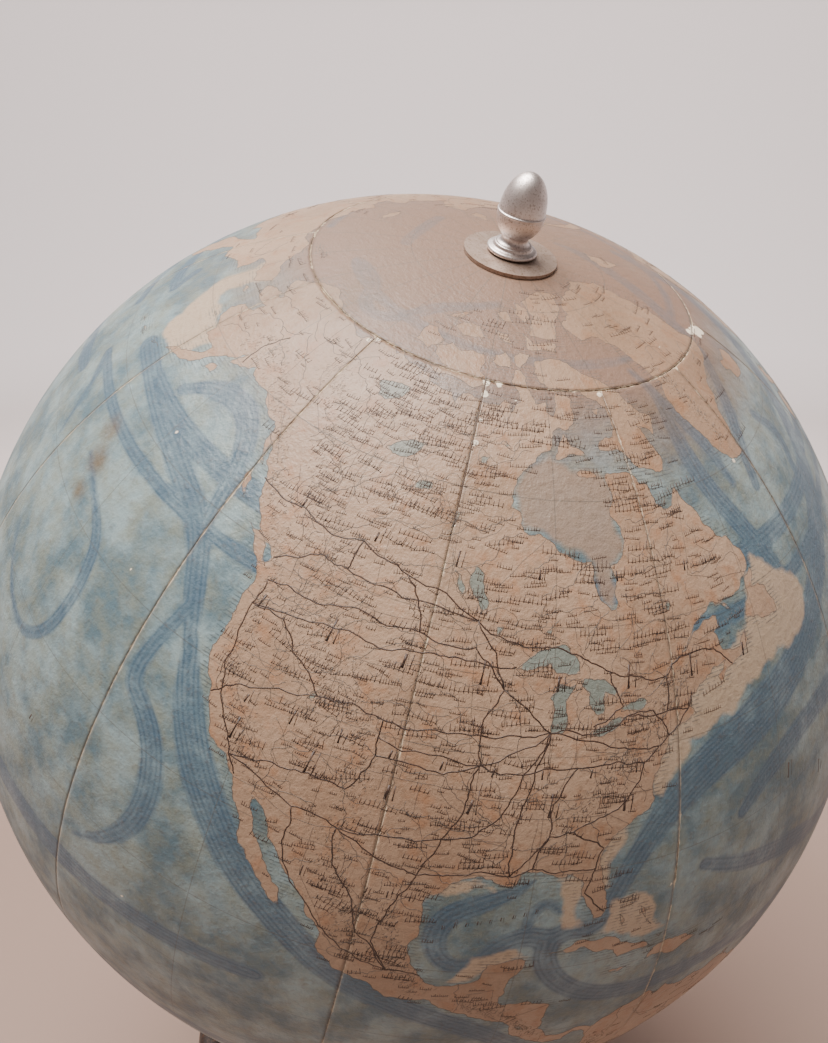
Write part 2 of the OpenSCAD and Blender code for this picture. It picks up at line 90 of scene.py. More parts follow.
# The map: outlines drawn as longitude and latitude, to about a degree.
MAINLAND = {
    "north_america": """-168 65.6 -166 66.3 -163 66.6 -162 66.1 -161 66.5 -163.5 67.1 -166 68.3 -163 69.3
        -160 70.6 -156.7 71.3 -152 70.8 -148 70.4 -143 70.1 -139 69.5 -135.5 69 -134 69.6 -131 70 -128
        70.4 -125.5 69.4 -124.4 70.1 -123 69.5 -119 69.2 -115.5 68.9 -115 68.2 -111 67.9 -109 67.8 -107.8
        66.8 -107 68.2 -104 68 -101.5 67.7 -98.5 67.8 -97.5 68.5 -95.8 68.2 -96 67.3 -94 68.4 -94.3 69.3
        -96.3 70.2 -95.3 71.9 -93.8 71.9 -92.5 70.6 -91.5 69.6 -90.5 68.5 -88 68.8 -88 67.8 -86.5 67.4
        -85.5 68.7 -85.3 69.7 -82.5 69.6 -81.3 69.1 -81.5 67.6 -83.5 66.3 -86 66.4 -87.5 64.6 -89.5 64
        -90.7 63.2 -93 62.2 -94.3 60.8 -94.7 59 -93 58.7 -92.4 57.2 -90 57.2 -88 56.5 -85 55.3 -82.4 55.1
        -82.2 53.3 -81.5 52 -80.2 51.2 -79 51.5 -79 53.5 -79.8 54.7 -77.8 55.3 -76.6 56.6 -77 57.8 -78.5
        58.8 -77.5 60 -78 62.3 -75.5 62.3 -73.5 62.3 -71.5 61.2 -70 61 -69.5 59.3 -68 58.6 -66.5 58.8
        -65.5 59.8 -64.6 60.3 -63.5 58.8 -62 57.8 -61.5 56.5 -60 55.3 -58 54.9 -57.2 53.8 -55.8 52.6 -56.5
        51.4 -59 50.3 -62 50.2 -65 50.3 -67 49.5 -69.5 48 -71 46.9 -69.5 47.6 -67 48.9 -64.5 49.1 -64.4
        48.2 -66 48 -65 47.2 -64.7 46.2 -63 45.8 -61.5 45.8 -60.2 46.9 -60 45.9 -61.5 45.2 -63.6 44.6
        -65.6 43.5 -66.1 44.3 -64.5 45.3 -66.5 45.1 -69 44.1 -70.5 43.3 -70.8 42.6 -70 41.8 -71.3 41.5
        -73.9 40.7 -74.1 39.8 -75 38.9 -75.1 38.4 -76 37 -75.7 35.6 -77 34.6 -79 33.6 -81 32 -81.4 30.6
        -80.5 28.4 -80 26.8 -80.3 25.3 -81.2 25.2 -81.9 26.5 -82.8 27.8 -82.7 29 -84 30.1 -85.3 29.7 -87
        30.4 -89 30.4 -89.3 29.2 -91 29.3 -93.8 29.7 -95 29.2 -97.1 27.8 -97.2 25.9 -97.8 22.5 -97.2 20.5
        -96 19.1 -94.5 18.1 -92 18.6 -90.7 19.4 -90.4 21 -88 21.6 -86.9 21.4 -87.6 19.6 -88.2 18.4 -88.5
        16.4 -88.2 15.7 -86 15.9 -83.3 15 -83.6 12.8 -83.7 11 -82.2 9.1 -80.8 8.9 -79.5 9.6 -77.5 8.7
        -75.5 10.6 -74.8 11.1 -72 12.2 -71.4 10.8 -70 12.1 -68 10.6 -64.5 10.1 -62 10.6 -61 9.6 -60 8.5
        -57.5 6.3 -54 5.8 -51.5 4.3 -50 1.7 -50.5 -0.2 -48 -0.8 -44.5 -2.5 -40 -2.9 -37 -4.8 -35.3 -5.3
        -34.8 -7.5 -37 -11 -39 -13.5 -39.2 -17.5 -41 -21.8 -43.5 -23 -48.3 -25.6 -48.7 -28.4 -52 -32.8
        -54.5 -34.8 -58.3 -34 -57 -36.5 -57.8 -38.2 -62 -39 -65 -41 -63.7 -42.5 -65.3 -44.9 -67.5 -46.2
        -65.8 -47.8 -69 -50.5 -68.4 -52.3 -74 -52 -75.5 -48.5 -74 -44 -73.5 -41.5 -73.4 -37.2 -71.5 -31
        -70.4 -25 -70.3 -18.4 -73.5 -16.2 -76.3 -13.8 -78.9 -8.5 -81.2 -6 -80.3 -3.4 -80.9 -1.2 -80 0.7
        -78.5 2.3 -77.3 4.2 -77.9 7.2 -78.4 8.5 -79.6 9 -80.4 7.4 -82.9 8.1 -83.7 8.6 -85.8 10.1 -86.5
        11.8 -87.6 13 -90 13.7 -92.3 14.6 -94.7 16.2 -97 15.9 -99.8 16.8 -102.2 17.9 -104.5 19.1 -105.6
        20.5 -105.4 21.8 -107.4 24.4 -109.4 26.2 -111 28 -112.8 30.2 -114.8 31.7 -114.7 31 -112.8 28
        -111.2 25.8 -109.6 23.2 -110.3 23.3 -112.2 25 -113.8 26.8 -115 27.9 -115.8 30.2 -117.1 32.5 -118.4
        33.9 -120.6 34.5 -121.9 36.6 -122.5 37.8 -123.8 39.3 -124.3 40.4 -124.1 42.8 -124 45 -124.6 48.3
        -123 49.1 -125.5 50.3 -127.7 51.8 -129.5 53.5 -130.4 54.8 -132.5 56.8 -135 58.5 -137.5 58.8 -140
        59.8 -144 60 -146.5 60.9 -148.5 60 -151.7 59.3 -150 61.1 -153.5 59.4 -156 57.8 -159 55.9 -162.5 55
        -164.7 54.6 -161.5 56 -158.2 57.4 -157.3 58.8 -160 58.7 -162 58.7 -161.8 59.8 -164.5 60.4 -166
        61.6 -164.8 63.1 -161.2 63.5 -160.9 64.7 -163.5 64.5 -166.4 64.7""",
    "eurasia": """190.3 66 187.5 64.3 181 65.5 177.5 64.7 179.3 62.4 174 61.7 170.3 59.9 166 60.2 163.3
        58.2 162.5 56.2 160 53.2 156.7 51 155.7 54 155.9 56.8 158.5 58.7 161.9 60.4 164.6 62.5 160.2 61.8
        156 61.5 154.5 59.5 151 59.2 143 59.3 138 56.2 135.3 54.7 137.6 53.8 141.2 53 140.4 48.5 138.2
        46.3 135.1 43.5 131.9 43.2 129.7 41 127.5 39.7 129.3 37.1 129.2 35.2 126.4 34.5 126.6 37 124.8
        38.2 124.5 40 121.7 39 122 40.6 119 39.2 117.8 38.6 119 37.3 122.5 37.2 119.3 35 121.8 31.8 121.8
        29.2 119.5 25.5 116.6 23.1 113.5 22.2 110.4 21.2 108.3 21.6 106.5 20 105.7 18.9 108.8 15.3 109.2
        11.9 106.8 10.4 105 8.7 104.8 10.2 102.5 12 100.9 13.4 99.9 11.7 99.3 9.3 100.5 7.2 103.4 4.5
        104.1 1.4 101.3 2.8 100.3 5.5 98.4 8 98.7 12 97.7 15.8 94.5 16 94.2 18.5 91.8 22.4 88.5 21.7 86.8
        20.7 82.3 16.7 80.2 15 79.9 10.4 78 8.3 76.4 9.8 74.5 14.2 72.8 19 72.7 21.5 70.3 20.8 69 22.3 68
        23.7 66.6 25.2 61.6 25.2 57.3 25.8 56.5 27.1 52.5 27.5 50.1 30.1 48 29.8 48.5 28 50.2 26.4 51.5
        25.2 54.5 24.3 56.3 26.1 58.6 23.6 59.8 22.3 57.7 18.9 55 17 52 15.6 45 12.8 43.4 12.7 42.8 15.5
        39.2 20.5 38.5 23.7 35.2 28.1 34.8 29.5 34.2 27.8 32.6 29.9 34 26.6 35.6 23.9 37.2 21 37.5 18.7
        39.5 15.5 43.2 12.4 43.3 11.5 45 10.6 51.2 11.8 50.8 9.5 47.9 4.5 42.6 -0.6 39.3 -4.8 39 -7 40.5
        -10.6 40.7 -15 35 -19.8 35.4 -23.8 32.9 -26 32.4 -28.7 30.5 -31.2 27 -33.6 22 -34.2 20 -34.8 18.4
        -34 18.2 -32 15.2 -27 14.5 -22.7 11.8 -17.9 13.8 -12 13 -8.8 12 -5 9.3 -1.8 9.6 1.1 9.7 3.8 8.5
        4.6 6 4.3 4.4 6.3 1.2 6 -2 4.8 -4.5 5.2 -7.7 4.4 -11.4 6.8 -13.3 9 -16.7 12.4 -17.4 14.7 -16.1
        17.5 -17 20.9 -16 23.7 -13 27.7 -9.8 29.8 -9.6 31.5 -6 35.8 -2 35.1 3 36.9 9.8 37.3 11 35 10.2 34
        15.2 32.3 19 30.3 20.1 32.4 23 32.6 25.2 31.6 29 30.9 32.3 31.2 34.3 31.4 35.8 34.7 36 36.7 32.5
        36.1 30.6 36.8 27.5 36.9 26.2 39 29 41 31.3 41.2 35 42 38.5 41 41.5 41.6 39 44.1 37 45.2 39 47.2
        35.3 46.4 33.5 46 35.5 45.1 33.6 44.5 31 46.6 28.7 44 27.8 42.6 28.8 41.3 26.2 40.6 23.8 40.3 22.7
        39.9 24 38 22.9 36.5 21.4 37.3 20.9 38.8 19.5 40.5 19.3 42 16 43.6 14 45.2 12.4 45.3 12.6 44.1 16
        41.8 18.4 40.2 16.9 40.5 16.9 39 15.8 38 15.6 40 12.5 41.5 10.3 43.6 8.8 44.4 6.5 43.2 3.9 43.5
        3.1 42 0.5 40.6 -0.2 38.9 -1.8 37.3 -4.5 36.7 -6 36.1 -8.9 37.1 -9.4 38.7 -8.8 43.2 -3.6 43.5 -1.5
        43.5 -1.2 46 -4.6 48 -1.5 48.8 -1.8 49.7 0.3 49.6 1.8 51 4.2 52.1 6.8 53.6 8.7 54 8.2 56.8 10.6
        57.7 10.5 55.9 10.8 54.2 14.2 54 18.5 54.7 21 55.5 21.4 57.3 24 57.4 23.5 59.1 28 59.7 30 60 25
        60.2 22.5 60.2 21.4 62 25.2 65 22.2 65.8 17.4 62.5 18.9 59.9 16.6 57.5 14.3 55.5 12.8 56 11.3 58.8
        10.6 59.5 8 58.1 5.5 59 5 61.8 10 63.9 13 66 16.5 68.6 20 70 25.7 71.1 31 70.4 37 69.1 41.2 67.2
        38.5 66.1 34.5 66.7 35 64.4 38 64.8 40.5 64.6 42 66.4 44.2 66.1 44 68.5 47 67.6 53 68.6 59 68.8 65
        69.2 67 69.7 67 72 72.7 72.8 73 69 74.3 68.3 74.8 72.8 80.5 73.5 87 75 98 76.2 104.3 77.7 113 76
        107 73.3 113.5 73.5 123.5 73 127 73.4 129.5 71.2 137 71.5 140 72.5 151 71.4 160 69.8 170.5 69 176
        69.8 180 69 185 67""",
    "greenland": """-73 78.3 -71 77.2 -68 76 -60 76.1 -56 74.5 -54.8 72.5 -53.5 71.2 -52 69.4 -53.7 67.1
        -52.3 64.8 -50.2 62.2 -48.5 61 -45.5 60 -43 60.1 -42.6 62 -40.5 64.5 -37.5 65.9 -33 67.5 -26.5
        68.4 -22.5 70 -24 71.5 -22 73.5 -20 75 -19.5 77 -19 79.8 -16 81.3 -24 82.5 -33 83.5 -45 82.6 -56
        82.2 -62 81.3 -66 80.3 -65 79.6""",
    "australia": """142.5 -10.8 143.8 -14.4 146.3 -18.9 149.3 -21.5 153.2 -25 153.5 -28.5 151.4 -33.3 150
        -37.3 146.4 -39 143.5 -38.7 140.3 -37.8 138.2 -35.6 137.8 -33 135.7 -34.8 131.2 -31.6 126 -32.3
        123.5 -33.9 118 -35 115.1 -34.3 115.8 -32 113.6 -26 113.8 -22.4 117 -20.7 121.5 -19 122.3 -17.8
        125.2 -14.5 128.2 -14.9 129.7 -15 130.8 -12.4 133 -11.5 136.8 -12 135.5 -15 139.4 -17.4 141 -16.5
        141.7 -13""",
    "antarctica": """-180 -78 -160 -78 -148 -76 -130 -74.5 -102 -74.5 -88 -73 -75 -72.5 -68 -68 -61 -64
        -57 -63.4 -61 -67 -62 -74 -75 -77.5 -60 -77.5 -38 -78 -26 -75.5 -12 -71.5 10 -70 38 -69.5 50 -66.8
        60 -67.4 70 -69 80 -67.7 100 -66 115 -66.3 135 -66 150 -68.5 163 -70.5 170 -72 165 -77 180 -78""",
}
ISLANDS = """-115 69.3 -105 68.9 -101.8 69.6 -104.5 70.9 -104.8 73 -108 73.1 -111 72.6 -114.5 73.3 -118.5
    72.2 -117 71.2 -112.5 70.3 -117 70; -124.5 71.9 -120 71.5 -117 73.2 -121.5 74.4 -124.5 74.2 -124.8 73;
    -89.5 73.3 -85 73.7 -80.9 73.7 -77.5 72.7 -74.2 71.8 -71 71 -68.5 70 -67 69 -64.5 67.4 -61.9 66.6
    -63.8 65 -65 65.9 -67.3 66.2 -65.7 64.4 -64.7 63.3 -65.5 61.9 -68.5 62.3 -71.5 63 -74 64.4 -77.9 64.3
    -77.3 65.2 -73.8 65.5 -73 67.4 -73.3 68.3 -77 69.3 -79 70.2 -82 69.9 -86.5 70.1 -89.2 70.9 -89.8 72.1;
    -61 82.4 -68 83.1 -78 83.1 -86 82.2 -91 81.4 -88 80.1 -85 79.3 -88 78.2 -89.5 76.5 -83 76.2 -79 76.3
    -77.5 77.5 -75 78.9 -67 80.5; -92 76.6 -89 75.5 -80 75.7 -81 74.5 -91 74.6; -90.5 73.9 -94 72.1 -95.5
    73.6 -94 74.1; -97 72 -102 72.3 -101.5 73.3 -98 73.9 -96.7 72.8; -106 75 -112 74.6 -117 75.3 -115 76.3
    -108.5 76.5; -96 75 -101 75.5 -102 76.4 -98 76.2; -88 80.3 -95 81.1 -95.5 79.3 -91 78.2 -88 79; -96 78
    -101 78.2 -104 79 -99 79.5; -114 77.9 -118 77.4 -122 76.2 -117 76.6; -81 63.9 -87.2 63.5 -86.3 64.2
    -85 65.9 -81 64.1; -79.5 62 -80.5 62.6 -83.5 62.4 -81.5 62; -76 67.6 -77.2 68.2 -75 68.3; -59.2 47.8
    -55.7 46.9 -53.1 46.7 -53 47.8 -54 49.4 -56.7 49.9 -55.5 51.5 -57.2 51 -58.2 49.1; -61.8 49.1 -64.4
    49.9 -62.5 49.7; -123.4 48.4 -125.5 48.9 -128.3 50.7 -125.2 50.2; -131.2 52.2 -133 53.5 -132.5 54.1
    -131.7 53.5; -131.8 55 -133.3 56 -134.6 57.8 -132.8 56.2; -154.5 57.2 -152.3 57.4 -152.5 58.3 -154 58;
    -164.8 54.5 -163.2 54.8 -163.9 55.1; -168.9 53 -166.3 53.7 -167.9 53.5; -174.8 52 -173 52.2 -174.2
    52.4; -178.4 51.6 -176.7 51.8 -177.6 52; -165.8 60.2 -167.3 60 -165.7 60; -171.8 63.4 -168.9 63.3
    -170.5 63.8; -84.9 21.9 -82.5 23 -79.5 22.9 -75.6 21 -74.2 20.2 -77.7 19.9 -78.3 21 -81.5 22.2; -74.4
    18.4 -73.2 19.9 -70 19.7 -68.4 18.6 -71.3 17.8; -78.3 18.3 -76.3 18.2 -77.1 17.8; -67.2 18.4 -65.7
    18.3 -66.5 17.95; -78.4 25.1 -77.8 24.4 -78 23.8; -78.9 26.7 -77.3 26.9 -78 26.5; -77.3 26.6 -76.9
    26.2 -77.2 25.9; -76.2 25.4 -75.4 23.9 -76 24.7; -75.3 23.6 -74.6 22.9 -75 23.3; -73.7 21.2 -73 21.3
    -73.4 20.9; -61.8 10.8 -60.9 10.8 -61.2 10.1; -24 65.5 -22.5 66.4 -20.3 65.9 -16.3 66.5 -14.6 65 -18.7
    63.4 -22.6 63.9 -22 64.8; -5.6 50.1 -3.6 50.2 1.3 51.1 1.7 52.7 0.2 53.2 -1.5 55.1 -3.2 56.1 -1.9 57.6
    -4 57.7 -3.2 58.6 -5 58.5 -6.1 56.7 -4.8 55.4 -3.2 54.9 -3 53.4 -4.6 53.2 -4.2 52.3 -5.2 51.9 -3 51.4;
    -6 52.2 -9.8 51.6 -9.9 53.9 -7.3 55.3 -5.6 54.5 -6.2 53.3; 51.6 71.5 55.3 75 68.2 76.9 62 75.6 56.5 73
    57.5 70.7; 11 79.4 14 77.5 17 76.7 21.5 78.3 27 80 17 80; 95 79.5 100 78 105 79.2 97 81; 137 75.5 143
    75 150 75.2 142 76; 178.5 71 182.5 71.3 180 70.8; 8.2 39 9.8 39.2 9.5 41.2 8.3 41; 8.6 42 9.5 41.5 9.4
    43; 12.5 38 15.6 38.2 15.1 36.7; 23.6 35.5 26.3 35.2 24.8 34.9; 32.4 34.8 34.5 35.6 33.6 34.8; 49.3
    -12.1 50.4 -15.6 47.6 -24 45.1 -25.5 43.4 -22 44.4 -16.3 47.6 -14; 79.8 8 80.2 9.7 81.8 7.5 80.6 6;
    108.7 19.2 110.6 20.1 110 18.5; 120.2 23 121.5 25.3 121.9 24.7 120.9 22; 120.6 18.4 122.2 18.4 121.6
    16 124 13 120.7 13.9 120 16; 122 7 123.7 8.6 125.5 9.7 126.5 7.3 125.4 5.7 124 6.7; 122 11.5 123 11
    125.5 11.3 124.5 10.2 122.8 9.3; 109 1.5 111.3 2.5 113 3.2 116.8 7 119.2 5.2 117.7 2 117.5 0.8 116.3
    -3.5 114.5 -4 110.2 -2.9 109.2 -0.3; 95.3 5.6 97.5 5.2 103.5 0 106 -3 105.8 -5.8 102.3 -4 98.7 1.6;
    105.3 -6.8 106.8 -6 110.8 -6.4 114.4 -7.8 114.3 -8.7 108.5 -7.8; 116 -8.4 118.9 -8.3 122.9 -8.2 119
    -8.8; 123.6 -10.3 127.2 -8.4 124.5 -9.2; 119.5 -5.5 119.8 0.7 124.8 1.6 123.3 0.3 120.3 0.5 121 -1.3
    123.3 -1 121.4 -2 122.5 -4.5 120.9 -2.9 120.4 -5.6; 127.4 1 128.6 1.5 128 -0.5; 128 -3.2 130.6 -3.1
    129 -3.6; 131 -0.8 134.2 -0.9 135.3 -3.3 141 -2.6 145.5 -5 147.8 -6.4 150.8 -10.5 146.5 -8.8 143 -9.2
    138 -8.3 137.8 -5.2 133 -4; 148.4 -5.6 152 -4.2 150 -6.3; 155 -5.6 160.8 -9.6 156 -7.6; 164 -20.2 167
    -22.3 165 -21.4; 177.3 -17.6 178.6 -18.2 177.5 -18.2; 130.9 34 132.6 35.5 136 35.8 136.9 37.3 139 38
    140 39.5 140.3 41.2 141.6 40.4 142 39.4 140.9 36.8 140.8 35.7 139 34.7 137 34.6 135.8 33.5 134.5 34.6;
    132.5 33.9 134.6 34 133 32.8; 130 33.5 131.7 33.5 131.3 31.3 130.2 31.3; 140 41.6 141 43.2 141.8 45.4
    145.3 43.4 143.2 42; 142 46 143.5 46.9 143 49.5 144 51 143.2 54.2 142.2 53.3 142.2 49; 144.8 -40.8
    148.3 -40.9 147.8 -43.2 146 -43.4; 173 -34.6 175.5 -36.8 178.4 -37.7 177 -39.5 175.2 -41.5 173.9 -39.4
    174.6 -37; 172.7 -40.6 174.2 -41.6 171.2 -44.3 168.8 -46.6 166.5 -45.8 170.8 -42.8; -74.5 -52.7 -69.2
    -52.7 -68.2 -53.3 -65.2 -54.7 -69 -55.4 -72 -54.2; -61 -51.6 -57.8 -51.6 -60.5 -52.2; -156 19.8 -154.8
    19.5 -155.7 18.9; -91.6 -0.2 -90.9 -0.6 -91.2 -1"""
WATERS = """-92 46.7 -89.2 48.2 -86.5 48.7 -84.6 47.3 -84.6 46.5 -87.4 46.5 -88.2 47.3 -90.5 46.7; -87.7
    42 -86.3 42 -86.3 44.5 -85 45.7 -87 45.7 -88 44.6; -84.5 45.9 -82.5 46 -80.2 45.2 -80.2 44.5 -81.6 45
    -81.7 43.3 -82.5 43.2 -83.5 44.1 -83.4 45; -83.3 41.8 -82.5 41.5 -80 42.2 -78.9 42.9 -81 42.7 -82.6
    42.1; -79.7 43.3 -77 43.3 -76.3 43.7 -76.8 44.1 -79.2 43.8; -97 50.5 -96.3 51 -97.2 53.5 -98.4 54 -99
    53 -97.6 51.5; -99.5 51.5 -100.2 52 -101.1 53.4 -100.2 53.1; -116.5 61.2 -114 62.3 -110 62.8 -112 61.3
    -115 60.9; -124.5 66.3 -121 66.9 -118 67 -118.3 65.9 -121.2 65 -123 65.2; -111 58.8 -106.5 59.4 -109
    59.6; -102.8 56.5 -102 57.9 -102.6 57.9; -88.9 49.6 -88 50.2 -88.3 49.5; -94.8 48.9 -94 49.7 -94.9
    49.6; -112.9 40.8 -112.2 41.6 -112.2 40.8; -86 12.1 -85 11.2 -85.6 11.3; -72.6 50.8 -71.5 51.3 -71.8
    50.6; -101 62.5 -99 63 -99.5 62.4; -98 64.2 -95.2 64 -97 64.6; 47.5 45.6 49.5 46.6 53 46.8 51.2 44.5
    50.3 44.3 52.5 41.8 53.8 39 53.9 37 50.3 37.3 49 39 49.5 40.5 47.6 43; 31.8 -1 33.5 0.3 34 -1 32.8
    -2.5; 29.3 -3.5 29.9 -4.5 31.2 -8.5 30.6 -8.5; 33.9 -10 34.9 -13.5 34.3 -13; 103.8 51.6 107 52.5 109.8
    55.6 109.2 53.5 106 51.6; 58.5 44.5 60 46.7 61.7 46 59.5 43.7; 30 60.5 33 61 31 61.7; 35 61 36.2 61.2
    35.3 62.3; 74 45.2 78.8 46.6 75 46.6; 13.3 13.3 14.5 14 15 13; -70 -15.6 -69 -16.3 -69.6 -16.2"""
HUDSON_BAY = """-94.6 60.5 -92.6 57.5 -87 56.6 -82.3 55.2 -81.8 52.5 -80 51.3 -79 53 -79.6 54.8 -77 56.3
    -78 58.8 -77.6 61.2 -79 62.5 -84 62.5 -88 63.8 -92.5 62.2"""
SHELVES = """-68 40.3 -63 41.6 -57.5 43.3 -52.3 43 -47.4 44 -45.6 46.4 -47 48.4 -51 50.4 -54.5 52.6 -58 50
    -60 47 -66 45 -71 43.2 -73.5 41.2 -75.4 38.5 -76 36 -74.6 35.4 -73.2 37.6 -71 39.8; -78.8 32.6 -80.3
    30.5 -79.9 28 -81.3 28 -81.6 31.4 -79 33.9; -79.3 26.9 -76.6 27.1 -74.4 23.6 -73 22 -74.5 21.8 -77.8
    22.6 -80.3 23.4 -79.4 25; -84.2 24.7 -82 24.6 -82.8 29.3 -85.5 29.9 -85 28.6; -92 21.9 -88 22.8 -86.6
    21.6 -90.4 20.4 -92.5 18.7 -93.6 18.6; -97.4 27 -96.6 28 -93 29.1 -91 28.6 -92.5 29.7 -95.5 29.4; -171
    55 -166 54.6 -160 56.5 -158 59 -166 60.5 -173 61.5 -170 66.2 -180 66 -178 61"""
RIVERS = """-95.2 47.2 -93.2 45 -91.2 43.3 -91.1 41 -90.2 38.7 -89.2 37 -90.3 34.8 -91 32.5 -91.2 31 -90.2
    29.9 -89.4 29.2; -112 45.8 -111 47.5 -106.5 48 -104 48 -100.8 46.8 -100.4 44.4 -97.5 42.9 -95.9 41.2
    -94.7 39.1 -90.3 38.8; -110.5 44.6 -108 46 -104 48; -80 40.4 -82.2 38.6 -84.6 39.1 -87.5 37.9 -89.2
    37; -84 36 -86.8 34.7 -88 36 -88.6 37; -105.8 42 -102.5 42.3 -99 40.8 -95.9 41.1; -106.2 38.9 -103 38
    -98 37.9 -96 36.2 -94.3 35.4 -91.2 33.9; -103 35.3 -98.5 34.6 -95 33.8 -93.5 31.8 -91.6 31; -102 32.5
    -98 31.5 -96 29 -95.4 29; -106.8 37.6 -106.6 34.5 -106.4 31.8 -103.2 29 -100.8 29.2 -99.3 26.8 -97.2
    26; -105 27.7 -104.4 29.5; -106 40 -109.5 38.7 -111.5 36.8 -114.5 36 -114.7 33 -114.9 31.8; -110 43
    -109.5 41 -109.8 38.4; -109 33 -112.5 33 -114.7 32.7; -117 51.5 -118 49 -119.6 46.2 -122.5 45.8 -123.9
    46.2; -110.5 43.8 -114.5 42.6 -117 44.2 -118.5 46.2; -121.5 40.8 -121.8 38.2; -119.5 37.2 -121.5 38;
    -120 52.8 -122.5 53.8 -121.8 50.2 -123 49.2; -128.5 55.9 -128.5 54.5 -130 54.2; -116.5 51.5 -112 50.5
    -108 51.3 -105 53.2 -101.3 53.8 -98.8 53.2; -116 52.3 -113.4 53.6 -108.5 52.8 -105 53.2; -97.8 54 -96
    56 -92.6 57.1; -108 55.8 -102.5 56 -98 57 -94.2 58.7; -97 50 -96.9 48 -96.6 46.3; -104 50.5 -100 49.7
    -97.2 49.9; -117 61 -121.5 61.8 -123.5 63.8 -126 65.5 -130 66.8 -134.2 67.8 -135 69; -129 60 -123.5
    59.5 -121.4 61.8; -124.4 65 -125 65.1; -124 56 -120 56.2 -116 58.4 -111.5 59 -113 61; -117.5 53 -113.5
    55 -111.4 56.8 -111.2 58.5; -110.5 65.5 -109 66.2 -107.8 66.7; -108.5 64.5 -103 64.5 -99 65.5 -96
    67.2; -134.8 60.8 -139.5 64 -145 66.5 -152 65 -158 64.7 -160.5 62 -164.3 62.7; -143 62.5 -149 64.4
    -152 65; -154 67 -158.5 67 -161.5 66.6; -154.5 62 -157.5 61.8 -161.5 60.4; -76.4 44.2 -73.6 45.5 -71.2
    46.8; -79.5 47.5 -76.7 46 -73.9 45.5; -72 48.7 -71 48.3 -69.8 48.1; -90.5 51.2 -86 51.2 -82 52.2; -92
    53.5 -88.8 55 -87.6 56; -89.5 52.3 -85.3 53.3 -82.3 55; -84 48.3 -82.3 50.2 -80.6 51.2; -72 51.8 -76
    52.2 -78.6 52.4; -71.5 54.2 -76 53.8 -79 53.7; -70 54 -69 56.5 -68 58.2; -76 58.3 -72.5 58.3 -69.8
    58.8; -66.8 53 -63 53.4 -60.2 53.6; -74 43.5 -73.9 40.8; -75.3 42 -75 40 -75.3 39.6; -76.5 42 -76.7
    40.2 -76.2 39.5; -79.5 39 -77.5 39.4 -76.5 38; -72.3 44.5 -72.6 42 -72.4 41.3; -83 34.5 -81.5 32.3;
    -84.5 34.2 -85.1 31.5 -85 29.9; -86 33 -87.8 31 -88 30.5; -102 20.4 -104.5 21.2 -105.2 21.7; -99 19.8
    -100.5 18.5 -102.1 18; -107.5 28.5 -109.3 28 -110.5 27.4; -92 15.8 -92.7 17.5 -92.5 18.5; -73.3 -4 -70
    -4.2 -65 -3.3 -60 -3.1 -55 -2.3 -51.5 -0.5; -67.5 3 -67.5 6.2 -62 8.5; -65 -11 -61.5 -6 -59 -3.4;
    -47.5 -19 -52 -21 -54.6 -25.5 -58.7 -27.4 -60 -32 -58.4 -34.1; -46 -20 -44.5 -13 -41 -9.2 -36.5 -10.4;
    -75 4 -74.5 8.5 -74.8 11; 32 2 31.5 9.5 32.5 15.6 33 19 31 22 32.8 24.5 31.2 28 31 31.3; 37 12 34.5
    11.5 32.5 15.6; 27 -10 26 -1 22 2 18 0 16 -4.2 12.5 -6; -10 10 -4 14.5 0 16.8 4 12 6.7 7.8 6 4.5; 23
    -13 24 -17.8 29 -16 34.5 -17.8 36.2 -18.7; 28 -29.5 22 -28.8 16.5 -28.6; 8.5 48 13 48.5 17 48 19 46 22
    44.6 27 44 29.5 45.2; 9 47 7.7 49 6.5 51.5 4.5 52; 17.5 50 14 51 10 53.6; 20 50 21 52.5 18.8 54.3; 33
    57 39 57.6 44 56.2 49 55.6 48 51 44.5 48.6 47.8 46; 32 55 30.7 51 34.5 48.5 32.5 46.5; 38 53.5 39.5 51
    42.5 49 39.5 47.2; 58 54 51.5 51.7 51.8 47; 46 61 40.6 64.5; 83 52.5 82.5 56 77 60.8 69 61 66.5 66.4;
    85 48 76.5 52.5 73.5 55 68.5 58.2 69 61; 94 51.7 92.8 56 90 61 87 66 83 70; 104 52.3 100 58 92 58; 107
    54.5 113 60 129.5 62 124 66 127 71.5; 116 50 121 53.3 127.5 50.2 131 47.8 137 50.2 140.8 53; 96 35 104
    36.5 107 40.5 110.5 40.3 110.5 35 115 35 118.8 37.7; 92 34 98 30 101.5 26.5 106.5 29.5 111 30.7 116
    29.8 121 31.8; 99 28 101 21.5 102.5 18 105.5 14.5 106.6 9.8; 78 30 82 25.4 88 24.5 90.5 22.5; 82 29.5
    95 29 90 25 90.5 22.5; 80 32.5 75 35.5 71.5 32 68 26 67.5 24; 39 39 39 35.9 44 32.5 48.3 30; 146 -36
    142 -34.2 139.3 -35.4; 148 -28.5 144 -31.5 142 -34; 98 27 96 22 95 16"""
